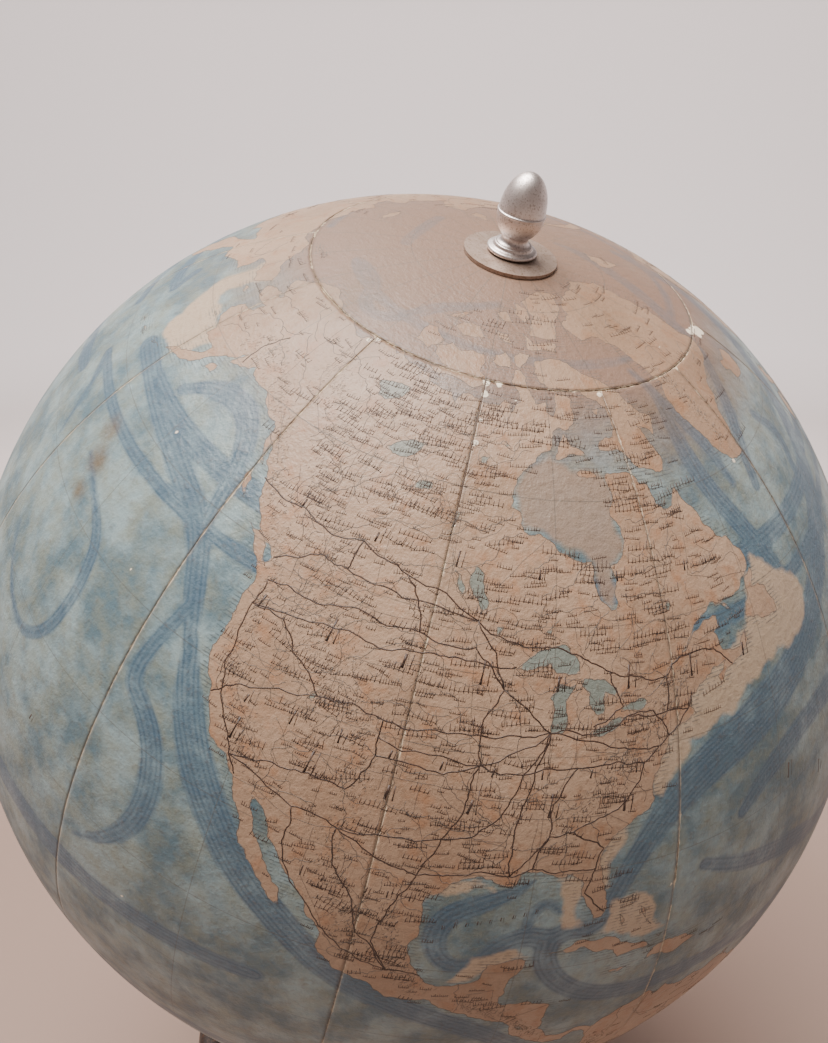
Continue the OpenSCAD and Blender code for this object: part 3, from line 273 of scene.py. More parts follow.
BORDERS = """-123 49 -95.2 49 -92.5 48.5 -89.5 48; -74.7 45 -71.4 45 -70.3 46 -69 47.4 -67.8 47 -67.2
    45.1; -117.1 32.5 -114.8 32.5 -111 31.3 -108.2 31.4 -106.5 31.8; -141 69.6 -141 60.3 -137.5 58.9 -135
    59.6 -130 55.8; -139 60 -120 60 -102 60 -94.8 60; -120 60 -120 54 -114.1 49; -110 60 -110 49; -102 60
    -101.4 49; -95.2 49 -95.2 52.8 -89 56.9; -79.5 51.3 -79.5 47 -76.5 45.5; -57 51.4 -63 52 -67.5 53
    -64.5 60.2; -69 48 -68 47.6 -66 48; -124.2 42 -111 42 -111 45 -104 45 -104 49; -117 49 -117 42; -117
    46 -119 46 -121 45.7 -124 46.2; -120 42 -120 39 -114.6 35; -114 42 -114 37 -102 37 -94.6 36.9; -109 41
    -109 31.3; -111 41 -102 41; -102 41 -102 37; -104 49 -104 41; -104 43 -98.5 43; -104 46 -96.5 46; -97
    49 -96.5 43.5 -95.8 40 -94.6 39 -94.6 33.6; -102 40 -95.3 40; -103 37 -103 32 -106.6 32; -100 37 -100
    34.5 -94.4 33.6 -94 31 -93.8 29.8; -96.5 43.5 -91.2 43.5; -95.7 40.6 -91.5 40.5; -92.3 46.7 -92.8 44.8
    -91.2 43.5; -90.6 42.5 -87.8 42.5; -87.5 41.7 -87.5 38.2; -84.8 41.7 -84.8 39.1; -88.1 35 -88.4 30.3;
    -85.2 35 -85 31 -84.9 30; -90.3 35 -83.2 35; -89.5 36.5 -75.9 36.5; -94.2 36.5 -90.2 36.4; -94 33
    -91.2 33; -80.5 42.2 -80.5 39.7 -75.8 39.7; -82.6 38.2 -81.7 36.6; -83.1 35 -81 35.1 -78.6 33.9; -79.8
    42.3 -79.8 42 -75.3 42; -73.3 45 -73.5 42 -73.6 41; -71.5 45 -72.5 42.7; -71 45.2 -70.8 43.1; -108.5
    31.2 -108.6 27 -106 23.5 -105.5 22.2; -105 28 -101.5 25 -101.8 22.8 -98 22.3; -103.8 20.5 -101 20.3
    -98.5 21; -92.2 14.6 -91.5 17.2 -89.2 17.8 -89.1 16; -88.3 15.7 -89.3 14.4 -87.6 13; -83.4 15 -86 13.9
    -87.6 13; -82.9 9.5 -82.9 8.1; -135 69 -135 64 -128 60; -124 66 -110 64 -102 64; -77.5 8.5 -77.8 7.2;
    -72 11.8 -72.5 8 -70 6.2 -67.5 6 -67 1.5 -70 -4 -75 -0.5 -78.8 1.4; -60 5 -60 1.5 -56 2 -51.7 4; -70
    -4 -72.8 -9.5 -69 -12 -69.5 -17.5 -68 -21 -68.5 -27 -70.2 -35 -72 -45 -72 -51; -69 -17.5 -62.5 -22
    -57.8 -25.3 -54 -25.5 -57.6 -30.2; 24 42 22.4 44.7 19 46 17 48 14 49 12.2 50.3 15 51 18 53.5 18.5
    54.7; 6.2 49.4 8 49 7.6 47.6 7 46 7.5 43.8; -1.8 43.4 3 42.5; -7 37.2 -7 41.9 -8.8 41.9; 28 69.5 24 66
    24 65.8; 14.5 68.3 12 62 11.5 59; 28 60.5 31 63 30 69.5; 21 55 24 52 24 49.5 30 45.4; 52 47 60 51 70
    54 80 50.8 87 49 98 51 107 49.6 117 49.6 122 53.3 131 48; 80 45 88 48 97 43 105 41.6 111 45 118 47; 74
    37 79 32 84 28.3 92 27.8 97.5 28.3; 62 25.3 63 29.5 61 35.5 66 38 73 37; 39 37 44 37 48 30; 25 31.5 25
    22 36 22; 9.5 37 9.5 30 14 23 24 20 24 10 30 4.5; 3 19 14 13 14 7 9 4.7; 12 -6 22 -7 24 -11 22 -18 12
    -17.3; 20 -28.5 20 -22 25 -22 29.5 -22 32 -25; 34 -1 37.5 -3 39 -4.7; 129 -15 129 -31.7; 138 -16.5 138
    -26 141 -26 141 -38; 129 -26 138 -26; 141 -29 153.3 -28.2"""
RAILWAYS = """-123 49.3 -117.5 51.3 -114 51 -106.5 50.3 -97.2 49.9 -89.3 48.4 -84.5 47.8 -81 46.5 -75.7
    45.4 -73.6 45.5 -71.2 46.8 -66 46.5 -63.5 44.7; -130.2 54.3 -122.7 53.9 -118 53 -113.5 53.5 -106.7
    52.1 -97.2 49.9; -122.3 47.6 -117.4 47.7 -111 48.5 -103.6 48.2 -97 47.9 -93.2 45; -122.5 45.5 -118 46
    -112 46.6 -106 46.3 -100.8 46.8 -96.8 46.9 -92.1 46.8; -122.4 37.8 -119.8 39.5 -112 41.2 -105 41.1
    -100.8 41.1 -96 41.3 -91 41.6 -87.7 41.9 -83 41.7 -78.9 42.9 -73.9 42.7 -71.1 42.4; -112 41.2 -116
    43.5 -118.5 45.5 -122.5 45.5; -118.3 34 -114.6 34.9 -111.7 35.2 -106.7 35.1 -104.8 38.3 -98 38 -94.6
    39.1 -87.7 41.9; -118.3 34 -111 32.2 -106.5 31.8 -101 29.8 -98.5 29.4 -95.4 29.8 -90.1 30; -106.5 31.8
    -97 32.8 -94 33.4 -92.3 34.7 -90.2 38.6 -87.7 41.9; -87.7 41.9 -89 39 -89.4 37 -90 35.1 -90.2 32.3
    -90.1 30; -90.1 30 -86.8 33.5 -84.4 33.8 -81 35 -77.5 37.5 -77 38.9 -75.2 40 -74 40.7 -71.1 42.4 -70.3
    43.7; -77 38.9 -80.5 39.3 -84.5 39.1 -90.2 38.6 -94.6 39.1 -105 39.7; -87.7 41.9 -80 40.4 -75.2 40;
    -84.5 39.1 -86.8 36.2 -86.8 33.5 -88 30.7; -84.4 33.8 -81.1 32.1 -81.7 30.3 -82.5 28 -80.2 25.8; -81.7
    30.3 -84.3 30.4 -88 30.7 -90.1 30; -93.2 45 -87.7 41.9; -93.2 45 -97.2 49.9; -93.2 45 -95 41 -94.6
    39.1 -95.4 36 -97 32.8 -98.5 29.4 -99.5 27.5 -100.3 25.7 -101 22.2 -99.1 19.4; -106.5 31.8 -106 28.6
    -103.4 25.5 -102.5 22.8 -99.1 19.4 -96.1 19.2; -99.1 19.4 -103.4 20.7 -106.4 23.2 -110.9 29.1 -111
    32.2; -122.3 47.6 -122.6 45.5 -122.4 40.6 -121.5 38.6 -119 35.4 -118.3 34 -117.1 32.7; -105 41.1 -105
    39.7 -104.8 38.3; -149.5 60.2 -149.9 61.2 -147.7 64.8; -114 51 -113.5 53.5; -103.6 48.2 -104.6 50.4
    -106.7 52.1; -81 46.5 -79.4 43.7 -83 42.3; -73.6 45.5 -73.9 42.7; -74 40.7 -75.7 43 -78.9 42.9; 37.6
    55.7 50 53.2 61.4 55.2 73.4 55 82.9 55 92.8 56 104.3 52.3 116 51 126 45.7 131.9 43.2; 2.3 48.9 7 49
    11.6 48.1 16.4 48.2 19 47.5 26 44.4 29 41; 13.4 52.5 21 52.2 30.3 59.9 37.6 55.7; 31.2 30 32.5 24 31
    19 32.5 15.6; 28 -26.2 25 -28.7 18.5 -33.9; 72.8 19 78 25 88.4 22.6; 72.8 19 80.3 13.1; 115.9 -31.9
    121.5 -30.8 138.6 -34.9 145 -37.8 151.2 -33.9; -58.4 -34.6 -68.8 -32.9 -71.6 -33"""
# Sea currents: longitude, latitude and half the band's width in millimetres, point by point.
CURRENTS = """173 57 1.6 179 53 2.2 -172 52.6 2.6 -164 52.9 2.8 -150 51.8 2.6 -139.8 50 3 -133 48 3 -128.8
    43 2.2 -126.5 39.5 1.6; -153 54.5 1.4 -149 57 2.2 -142 58 2.8 -137.4 56.6 2.6 -134.5 53.5 2.2 -133 48
    1.8; -156 44 0.8 -149 42.6 1.1 -144.5 40.7 1.6 -143 37.7 1.8 -142.7 34.5 1.8 -143.7 30.6 1.6 -147 27.8
    1.4 -151.4 28.2 1 -156 30.3 0.8 -158.7 32.8 0.6; -165 40.6 0.6 -169 45.8 1.2 -179 48.3 1.8 173 49.3 2;
    -128.8 43 1.4 -131.6 34.7 2 -128 33.1 2.3 -125.4 30.5 2.9 -124.2 26.6 3 -125 22.4 2.4 -127.7 18.8 1.6
    -131 16.6 0.7; -126.8 40.4 1.8 -124.6 36.5 3 -121.5 32.4 4 -117.6 28.4 4.1 -114 25 4 -108.6 21.2 3.6
    -103.5 17.4 3.2 -96.5 14.6 3 -89.5 11.8 2.8 -84 7 2.4; -87.6 29.6 0.6 -89.6 28.4 1.6 -92.4 27.3 2.2
    -95 26 2.4 -95.8 24 2.4 -95.4 22 2.2 -93.8 20.6 2 -91.4 20.9 1.8 -90 23 2 -87.6 24.2 2.6 -85 23.4 3
    -83.4 24.4 2.6 -81.4 24 2.2 -80 25 2 -79.2 27.4 2.1 -77.7 30.3 2.6 -74.6 34 3.4 -70.4 36.6 4.4 -64.5
    38.4 5 -57 40 5 -50.6 41.7 4.4 -45 44 4 -36 47.5 4.4 -26 51.5 4.2 -14 57.5 3.8 -3 62.5 3.2 6 66.5 2.6
    16 71.5 2.2 30 74 1.6; -85 23.4 2.8 -85.4 21.4 2.8 -83.8 18.6 2.6 -80.6 16 2.6 -76 14.4 2.8 -70 14 2.8
    -62 13 2.8 -50 11 3; -87.6 24.2 1 -87.4 26.4 1.4 -86 27.6 1.2 -84.6 26.4 1; -69 27.5 1.6 -63 25 2.4
    -55 22.6 3 -44 18 3.4 -30 17 3.4; -64 31 1.6 -60 33.6 2.6 -52 35.4 3.2 -42 35.6 3 -32 33 2.4; -25.7 69
    1.6 -34 65.4 2 -42.4 60.6 2.2 -45 57 1.6; -57 68 1.4 -58.5 64 2 -57.5 59.6 2.4 -53.6 55 2.6 -50 50 2.4
    -48.5 46.4 1.8; -50.6 58.5 1 -51.6 62.6 1.6 -55.6 67 1.6 -59 71.5 1.2; -30 61 1.4 -26 57.6 1.8 -30 54
    1.4; 162.7 71 1 -175.1 73.9 1.4 -164 75.2 1.6 -151.3 74.5 1.8 -146.6 72.2 1.7 -138.6 71.8 1.6 -133
    73.6 1.6 -127.4 76.9 1.7 -118.2 78.5 1.6 -104 80.3 1.2; 128 79.5 1.4 150 80.5 1.8 175 79.5 1.4; 41.7
    81.8 1.2 18 80.2 2 2.5 78.3 2.2 -10 75.6 2.2 -18.8 73 2 -22.5 70.4 1.6; -110 14 2 -130 12 3.4 -155 11
    4 -180 12 4 -205 13 4 -228 14.4 3.4 -237 18.5 2.6 -237.5 23.5 2.4 -230 30 2.8 -219 34.5 3.4 -205 38
    3.6 -188 41 3.2 -176 43.4 2; -85 -5 2 -105 -5 3.4 -140 -6 4 -170 -7 4 -200 -6 3.4; -76 -46 2.6 -75 -36
    3 -74 -27 3 -79 -14 3 -88 -6 2.6; -8 -9 3 -22 -7 3.6 -33 -6 3.4 -42 -0.5 2.6 -50 6 2.4 -60 12 2; -35
    -10 2.4 -38.5 -19 2.4 -43 -27 2.6 -52 -38 2.4; 16.5 -34 2.4 12.5 -27 2.8 8 -18 3 -2 -11 3; 42.5 -12 2
    41 -20 2.6 34.5 -29 2.8 27 -36 2.8 20 -39.5 2.2; 112 -13 3 92 -13 3.6 70 -13 3.6 52 -13 3 44 -11 2; 45
    3 2 58 8 2.6 72 4 3 90 3 2.6; -180 -46 3.6 -150 -49 4 -120 -50 4.2 -90 -52 4 -66 -57.5 3 -40 -52 4 -10
    -47 4.2 25 -46 4.2 60 -46 4.2 100 -45 4.2 135 -47 4 165 -50 3.6 180 -46 3.6; 152 -17 1.8 155 -26 2.4
    155.5 -34 2.4 160 -40 2; -11 43 1.6 -14 36 2.4 -18 27 2.8 -21 18 2.8 -30 13 2.6; 150 50 1.6 156.5 47 2
    150 42.5 2"""

# Wear along each seam, from its pole downwards: latitude, open gap in mm, pale edge and dirt from 0 to 1.
PLAIN_SEAM = ((-70, 0.05, 0.5, 0.5), (0, 0.05, 0.35, 0.5), (40, 0.07, 0.5, 0.6), (70, 0.1, 0.7, 0.6))
SEAM_WEAR = {
    0: ((-70, 0.05, 0.5, 0.5), (20, 0.06, 0.5, 0.7), (44, 0.09, 0.75, 0.7), (55, 0.12, 0.9, 0.8),
        (57, 0.2, 0.5, 1), (59, 0.42, 0.3, 1), (66, 0.5, 0.4, 1), (70, 0.55, 0.9, 1)),
    1: ((-70, 0.05, 0.5, 0.5), (24, 0.08, 0.7, 0.6), (27, 0.2, 1, 0.6), (32, 0.08, 0.6, 0.6),
        (70, 0.08, 0.6, 0.6)),
    2: ((-70, 0.05, 0.4, 0.5), (50, 0.08, 0.6, 0.9), (56, 0.24, 0.9, 1), (70, 0.2, 0.8, 1)),
    3: ((-70, 0.05, 0.4, 0.5), (56, 0.08, 0.6, 0.9), (62, 0.4, 0.6, 1), (70, 0.6, 0.9, 1)),
    10: ((-70, 0.05, 0.4, 0.4), (0, 0.05, 0.3, 0.5), (45, 0.07, 0.5, 0.6), (70, 0.08, 0.6, 0.6)),
    11: ((-70, 0.05, 0.5, 0.4), (0, 0.05, 0.3, 0.6), (30, 0.06, 0.45, 0.8), (69, 0.14, 0.8, 0.8),
         (70, 0.2, 1, 0.8)),
}
# Stains: longitude, latitude, radius in mm and depth of the brown, from 0 to 1.
STAINS = """-156.5 47 3 0.8 -154 44.5 3.4 0.9 -152.5 41.5 2.4 0.7 -99 60 9 0.35 -104 57 7 0.35 -100.5 52 9
    0.3 -84 33 14 0.25 -101 22 12 0.3 -30 66 8 0.5 -47 78 9 0.35 -150 71.5 12 0.45 -165 66 12 0.4 -60 66 7
    0.45 -88 20 10 0.25 -10 30 16 0.3 40 10 20 0.3 90 45 18 0.3 150 -20 18 0.35 -60 -40 20 0.3"""
# Spots where the printed face has gone: longitude, latitude, radius in mm and strength.
BARE = """-102.3 69.75 0.9 1 -99.2 69.9 0.7 1 -131.8 69.8 0.6 1 -133.6 69.3 0.5 1 -73.3 69.6 0.6 1 -16.5
    69.6 2 1 -14 69 1.4 1 -19.5 70.4 1.1 1 -72.8 26.9 0.55 1 -72.8 28.3 0.45 0.9 -124.1 14.3 0.4 1 -95
    68.6 0.5 0.7 -102.1 63.9 0.7 1 -101.9 66 0.6 0.8 -102.1 68.6 0.8 0.9 -102.6 56.7 0.4 0.9 -147 52 1.1
    0.5 -138 41.5 0.35 1 -117 62 0.4 0.6 -47 60 0.9 0.6 -39 72.4 0.8 0.6 -60.5 52 0.5 0.6 -112.5 20.4 0.3
    0.8 -139.5 12 0.35 0.9 -109.7 59 0.3 0.6 -89 44 0.3 0.4 -96 33 0.3 0.4 15 0 1.2 0.6 77 12 0.9 0.7 -178
    -14 1.1 0.7"""

# The raster on which distances over the map are worked out, in degrees.
CELL = 0.25
COLS = int(360 / CELL)
ROWS = int(180 / CELL)
CELL_LON = -180 + CELL * (np.arange(COLS) + 0.5)
CELL_LAT = -90 + CELL * (np.arange(ROWS) + 0.5)
FAR = 40.0


def tint(code):
    """A #rrggbb colour as the linear red, green and blue that a shader wants, with full alpha."""
    shown = np.array([int(code[i : i + 2], 16) / 255 for i in (1, 3, 5)])
    linear = np.where(shown <= 0.04045, shown / 12.92, ((shown + 0.055) / 1.055) ** 2.4)
    return (*linear.tolist(), 1.0)


def numbers(text, width=2):
    """A table of numbers from plain text, width to a row."""
    return np.array(text.split(), dtype=float).reshape(-1, width)


def outlines(text, width=2):
    """Several tables from plain text, parted by semicolons."""
    return [numbers(part, width) for part in text.split(";")]


# ---------------------------------------------------------------- places on the ball


def directions(lon, lat):
    """Unit vectors of places on a sphere, in the globe's own axes."""
    turn = np.radians(np.asarray(lon) + PRIME_TURN)
    climb = np.radians(lat)
    return np.stack((np.cos(climb) * np.cos(turn), np.cos(climb) * np.sin(turn), np.sin(climb)), -1)


RIPPLES = np.random.default_rng(31)
RIPPLE_WAYS = RIPPLES.normal(size=(9, 3))
RIPPLE_WAYS /= np.linalg.norm(RIPPLE_WAYS, axis=1)[:, None]
RIPPLE_LENGTHS = np.array([61, 47, 38, 29, 23, 17, 13, 9, 7.0])
RIPPLE_PHASES = RIPPLES.uniform(0, 2 * math.pi, 9)
RIPPLE_DEPTH = 0.03


def ripple(lon, lat):
    """Height in mm of the pasted paper's slow waves: plane sine waves through space, read on the ball."""
    place = directions(lon, lat) * BALL_R
    waves = np.sin(place @ (RIPPLE_WAYS * (2 * math.pi / RIPPLE_LENGTHS)[:, None]).T + RIPPLE_PHASES)
    share = RIPPLE_LENGTHS / RIPPLE_LENGTHS.sum()
    return RIPPLE_DEPTH * np.clip(waves @ share * 2.2, -1, 1)


def on_paper(lon, lat, lift=0.0, flat=False):
    """Points over the printed surface in the row frame, in metres, lift mm above it: each longitude turns
    about the globe's axis and each latitude climbs its meridian, a circle up to the polar caps and the
    arc of a wider circle over them. flat leaves the paper's waves out."""
    lon, lat = np.broadcast_arrays(np.asarray(lon, float), np.asarray(lat, float))
    turn = np.radians(lon + PRIME_TURN)
    from_pole = np.radians(90 - np.abs(lat))
    capped = np.abs(lat) > CAP_LAT
    spread = np.where(capped, from_pole * FLAT_EDGE / CAP_COLAT, from_pole)
    height = lift if flat else lift - PAPER_SINK + ripple(lon, lat)
    radius = np.where(capped, FLAT_R, BALL_R) + height
    out = radius * np.sin(spread)
    up = (radius * np.cos(spread) - np.where(capped, FLAT_DROP, 0)) * np.where(lat < 0, -1, 1)
    place = np.stack((out * np.cos(turn), out * np.sin(turn), up), -1)
    return (place @ AXES + CENTRE) * MM


def along_axis(points):
    """Points given in mm about the axle, z along it from the socket's centre, as row-frame metres."""
    foot = np.array([0, 0, SOCKET_Z])
    return (np.asarray(points) @ AXES + foot) * MM


# ---------------------------------------------------------------- fields over the map


def roughen(points, seed, levels=4, throw=0.16):
    """Breaks each straight run at its middle and throws the new point sideways by a random share of the
    run's length, several times over, so that a line is as ragged at every scale as a coast."""
    dice = np.random.default_rng(seed)
    line = np.asarray(points, float)
    for _ in range(levels):
        run = np.diff(line, axis=0)
        squeeze = np.cos(np.radians((line[:-1, 1] + line[1:, 1]) / 2)).clip(0.1)
        side = np.stack((-run[:, 1] / squeeze, run[:, 0] * squeeze), 1)
        middle = (line[:-1] + line[1:]) / 2 + side * dice.uniform(-throw, throw, len(run))[:, None]
        joined = np.empty((2 * len(line) - 1, 2))
        joined[0::2] = line
        joined[1::2] = middle
        line = joined
    return line


def ring_of(points):
    """The outline with its first point again at its end."""
    return np.vstack((points, points[:1]))


def evenly(line, step):
    """The line's numbers read again at even steps along it, in degrees."""
    squeeze = np.cos(np.radians((line[1:, 1] + line[:-1, 1]) / 2))
    run = np.hypot(np.diff(line[:, 0]) * squeeze, np.diff(line[:, 1]))
    gone = np.concatenate(([0], np.cumsum(run)))
    at = np.linspace(0, gone[-1], max(2, int(gone[-1] / step) + 1))
    return np.stack([np.interp(at, gone, column) for column in line.T], 1)


def rounded(line, times=3):
    """The line with its corners cut, a quarter of each run at a time, which ends in a smooth curve."""
    for _ in range(times):
        start, stop = line[:-1], line[1:]
        cut = np.stack((0.75 * start + 0.25 * stop, 0.25 * start + 0.75 * stop), 1).reshape(-1, line.shape[1])
        line = np.vstack((line[:1], cut, line[-1:]))
    return line


def filled(rings):
    """Which cells lie inside any of the closed outlines: along a row of cells, every edge crossed turns
    outside into inside and back, so a cell with an odd count of crossings to its west is inside."""
    inside = np.zeros((ROWS, COLS), bool)
    for ring in rings:
        (x0, y0), (x1, y1) = ring[:-1].T, ring[1:].T
        row = CELL_LAT[:, None]
        crossed = (y0 <= row) != (y1 <= row)
        rise = np.where(y1 == y0, 1, y1 - y0)
        meets = x0 + (row - y0) / rise * (x1 - x0)
        at_row, edge = np.nonzero(crossed)
        column = np.ceil((meets[at_row, edge] + 360) / CELL - 0.5).astype(int).clip(0, 2 * COLS + COLS // 2)
        toggles = np.zeros((ROWS, 2 * COLS + COLS // 2 + 1), int)
        np.add.at(toggles, (at_row, column), 1)
        odd = np.cumsum(toggles, axis=1) % 2 == 1
        west = COLS // 2
        inside |= odd[:, west : west + COLS] | odd[:, west + COLS : west + 2 * COLS]
        inside[:, west:] |= odd[:, :west]
    return inside


CELL_PLACES = (directions(*np.meshgrid(CELL_LON, CELL_LAT)) * BALL_R).astype(np.float32)


def nearest(seeds, half_width=0.0):
    """Distance in mm from each cell to the nearest seed, less that seed's half width, and the plain distance
    to the same seed: each cell keeps the best seed it knows of, and asks cells ever closer to it for theirs
    (jump flooding)."""
    spots = np.vstack((directions(seeds[:, 0], seeds[:, 1]) * BALL_R, [[9999.0] * 3])).astype(np.float32)
    widths = np.append(np.broadcast_to(half_width, len(seeds)), 0).astype(np.float32)
    best = np.full((ROWS, COLS), -1)
    row = ((seeds[:, 1] + 90) / CELL).astype(int).clip(0, ROWS - 1)
    column = np.floor((seeds[:, 0] + 180) / CELL).astype(int) % COLS
    best[row, column] = np.arange(len(seeds))
    plain = np.linalg.norm(CELL_PLACES - spots[best], axis=2)
    score = plain - widths[best]
    for hop in (24, 12, 6, 3, 2, 1):
        for down, across in ((-1, -1), (-1, 0), (-1, 1), (0, -1), (0, 1), (1, -1), (1, 0), (1, 1)):
            other = np.roll(best, (down * hop, across * hop), (0, 1))
            asked = np.nonzero((other >= 0) & (other != best))
            theirs = other[asked]
            far = np.linalg.norm(CELL_PLACES[asked] - spots[theirs], axis=1)
            better = far - widths[theirs] < score[asked]
            where = (asked[0][better], asked[1][better])
            best[where] = theirs[better]
            plain[where] = far[better]
            score[where] = (far - widths[theirs])[better]
    return score.clip(-FAR, FAR), plain.clip(0, FAR)


def signed(rings, shores):
    """Distance in mm to the shore lines, above nothing inside the closed outlines and below it outside."""
    seeds = np.vstack([evenly(line, 0.12) for line in shores])
    away = nearest(seeds)[0].clip(0)
    return np.where(filled(rings), away, -away)


def sample(field, lon, lat):
    """Reads a field between its cells, in proportion to how near each of the four cells round a point is."""
    x = (np.asarray(lon) + 180) / CELL - 0.5
    y = ((np.asarray(lat) + 90) / CELL - 0.5).clip(0, ROWS - 1.001)
    left = np.floor(x).astype(int)
    low = np.floor(y).astype(int)
    fx, fy = x - left, y - low
    right = (left + 1) % COLS
    left = left % COLS
    lower = field[low, left] * (1 - fx) + field[low, right] * fx
    upper = field[low + 1, left] * (1 - fx) + field[low + 1, right] * fx
    return lower * (1 - fy) + upper * fy


def spots(lon, lat, table):
    """Soft round marks: each is 1 at its middle and fades as a bell curve of its own radius in mm."""
    place = directions(lon, lat) * BALL_R
    depth = np.zeros(np.shape(lon))
    for at_lon, at_lat, radius, strength in table:
        away = np.sum((place - directions(at_lon, at_lat) * BALL_R) ** 2, -1)
        depth = np.maximum(depth, strength * np.exp(-away / radius**2))
    return depth


def draw_map():
    """Works out the ragged outlines and the fields of the whole map, once."""
    rings, shores = [], []
    for number, (name, text) in enumerate(MAINLAND.items()):
        line = numbers(text)
        if name != "antarctica":
            shore = roughen(ring_of(line), number, 4 if name in ("north_america", "greenland") else 3)
            rings.append(shore)
        else:
            shore = roughen(line, number, 4)
            rings.append(ring_of(np.vstack((shore, [[180, -91], [-180, -91]]))))
        shores.append(shore)
    for number, line in enumerate(outlines(ISLANDS)):
        shore = roughen(ring_of(line), 100 + number, 3)
        rings.append(shore)
        shores.append(shore)
    lakes = [roughen(ring_of(line), 300 + number, 3) for number, line in enumerate(outlines(WATERS))]
    bay = [roughen(ring_of(numbers(HUDSON_BAY)), 390, 3)]
    shelves = [roughen(ring_of(line), 400 + number, 3) for number, line in enumerate(outlines(SHELVES))]
    flows = [evenly(rounded(line), 0.3) for line in outlines(CURRENTS, 3)]
    drift = np.vstack(flows)
    flow, middle = nearest(drift[:, :2], drift[:, 2])
    return {
        "rings": rings,
        "shores": shores,
        "lakes": lakes,
        "fields": {
            "coast": signed(rings, shores),
            "lake": signed(lakes, lakes),
            "bay": signed(bay, bay),
            "shelf": signed(shelves, shelves),
            "flow": -flow,
            "middle": middle,
        },
    }


# ---------------------------------------------------------------- meshes


def put(name, points, polygons, finish, body, fields=None, smooth=True):
    """Makes one finished piece at the origin from points in metres and faces given as index arrays, each
    array with one face a row. fields are numbers kept on the points for the finish to read."""
    mesh = bpy.data.meshes.new(name)
    corners = np.concatenate([np.asarray(faces).ravel() for faces in polygons]).astype(np.int32)
    sizes = np.concatenate([np.full(len(faces), np.shape(faces)[1]) for faces in polygons]).astype(np.int32)
    mesh.vertices.add(len(points))
    mesh.vertices.foreach_set("co", np.ascontiguousarray(points, np.float32).ravel())
    mesh.loops.add(len(corners))
    mesh.loops.foreach_set("vertex_index", corners)
    mesh.polygons.add(len(sizes))
    mesh.polygons.foreach_set("loop_start", np.concatenate(([0], np.cumsum(sizes)[:-1])).astype(np.int32))
    mesh.polygons.foreach_set("loop_total", sizes)
    mesh.polygons.foreach_set("use_smooth", np.full(len(sizes), smooth))
    for key, values in (fields or {}).items():
        layer = mesh.attributes.new(key, "FLOAT", "POINT")
        layer.data.foreach_set("value", np.ascontiguousarray(values, np.float32).ravel())
    mesh.update(calc_edges=True)
    mesh.validate()
    mesh.materials.append(finish)
    piece = bpy.data.objects.new(name, mesh)
    bpy.context.scene.collection.objects.link(piece)
    if body:
        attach(piece, body)
    return piece


def grid(rows, columns, start=0, wrap_rows=False, wrap_columns=False):
    """Faces of a grid of points numbered row by row from start, as four corners each."""
    r = np.arange(rows if wrap_rows else rows - 1)[:, None]
    c = np.arange(columns if wrap_columns else columns - 1)[None, :]
    here = r * columns + c
    next_row = (r + 1) % rows * columns + c
    aside = r * columns + (c + 1) % columns
    across = (r + 1) % rows * columns + (c + 1) % columns
    corners = (here, aside, across, next_row)
    return start + np.stack([np.broadcast_to(corner, here.shape).ravel() for corner in corners], 1)


def facing(points, faces, away_from):
    """The faces, turned round if their first one faces the point that they should face away from."""
    a, b, c = points[faces[len(faces) // 2, :3]]
    outward = np.dot(np.cross(b - a, c - a), (a + b + c) / 3 - away_from) > 0
    return faces if outward else faces[:, ::-1]


def sheet(outer, inner, wrap):
    """A closed sheet between a fine outer grid and an inner grid with the same rows and fewer columns: the
    two skins, the two long edges, and, unless the rows close on themselves, an end at each."""
    rows, fine, _ = outer.shape
    few = inner.shape[1]
    points = np.vstack((outer.reshape(-1, 3), inner.reshape(-1, 3)))
    base = rows * fine
    middle = CENTRE * MM
    skin = facing(points, grid(rows, fine, 0, wrap), middle)
    lining = facing(points, grid(rows, few, base, wrap), middle)[:, ::-1]
    same = np.array_equal(skin[0], grid(rows, fine, 0, wrap)[0])
    here = np.arange(rows if wrap else rows - 1)
    there = (here + 1) % rows
    first = np.stack((here * fine, there * fine, base + there * few, base + here * few), 1)
    last = np.stack((there * fine, here * fine, base + here * few, base + there * few), 1)
    last = last + np.array([fine - 1, fine - 1, few - 1, few - 1])
    walls = [first, last] if same else [first[:, ::-1], last[:, ::-1]]
    if not wrap:
        stride = (fine - 1) // (few - 1)
        span = np.arange(few - 1)[:, None] * stride + np.arange(stride + 1)
        under = base + np.stack((np.arange(1, few), np.arange(few - 1)), 1)
        foot = np.hstack((span[:, ::-1], under[:, ::-1]))
        head = np.hstack((span + (rows - 1) * fine, under + (rows - 1) * few))
        walls += [foot, head] if same else [foot[:, ::-1], head[:, ::-1]]
    return points, [skin, lining, *walls]


def lathe(profile, sides):
    """A turned solid: the profile of radius and height goes round the z axis in so many steps. A profile
    that begins and ends on the axis is closed with fans of triangles; any other is taken as a ring."""
    profile = np.asarray(profile, float)
    solid = profile[0, 0] == 0 and profile[-1, 0] == 0
    body = profile[1:-1] if solid else profile
    turn = np.arange(sides) * 2 * math.pi / sides
    radius, height = body[:, :1], body[:, 1:]
    points = np.stack((radius * np.cos(turn), radius * np.sin(turn), height + 0 * turn), -1).reshape(-1, 3)
    faces = [grid(len(body), sides, 0, not solid, True)]
    if solid:
        ends = np.array([[0, 0, profile[0, 1]], [0, 0, profile[-1, 1]]])
        count = len(points)
        points = np.vstack((points, ends))
        around = np.arange(sides)
        beside = (around + 1) % sides
        top = (len(body) - 1) * sides
        faces.append(np.stack((beside, around, np.full(sides, count)), 1))
        faces.append(np.stack((top + around, top + beside, np.full(sides, count + 1)), 1))
    return points, faces


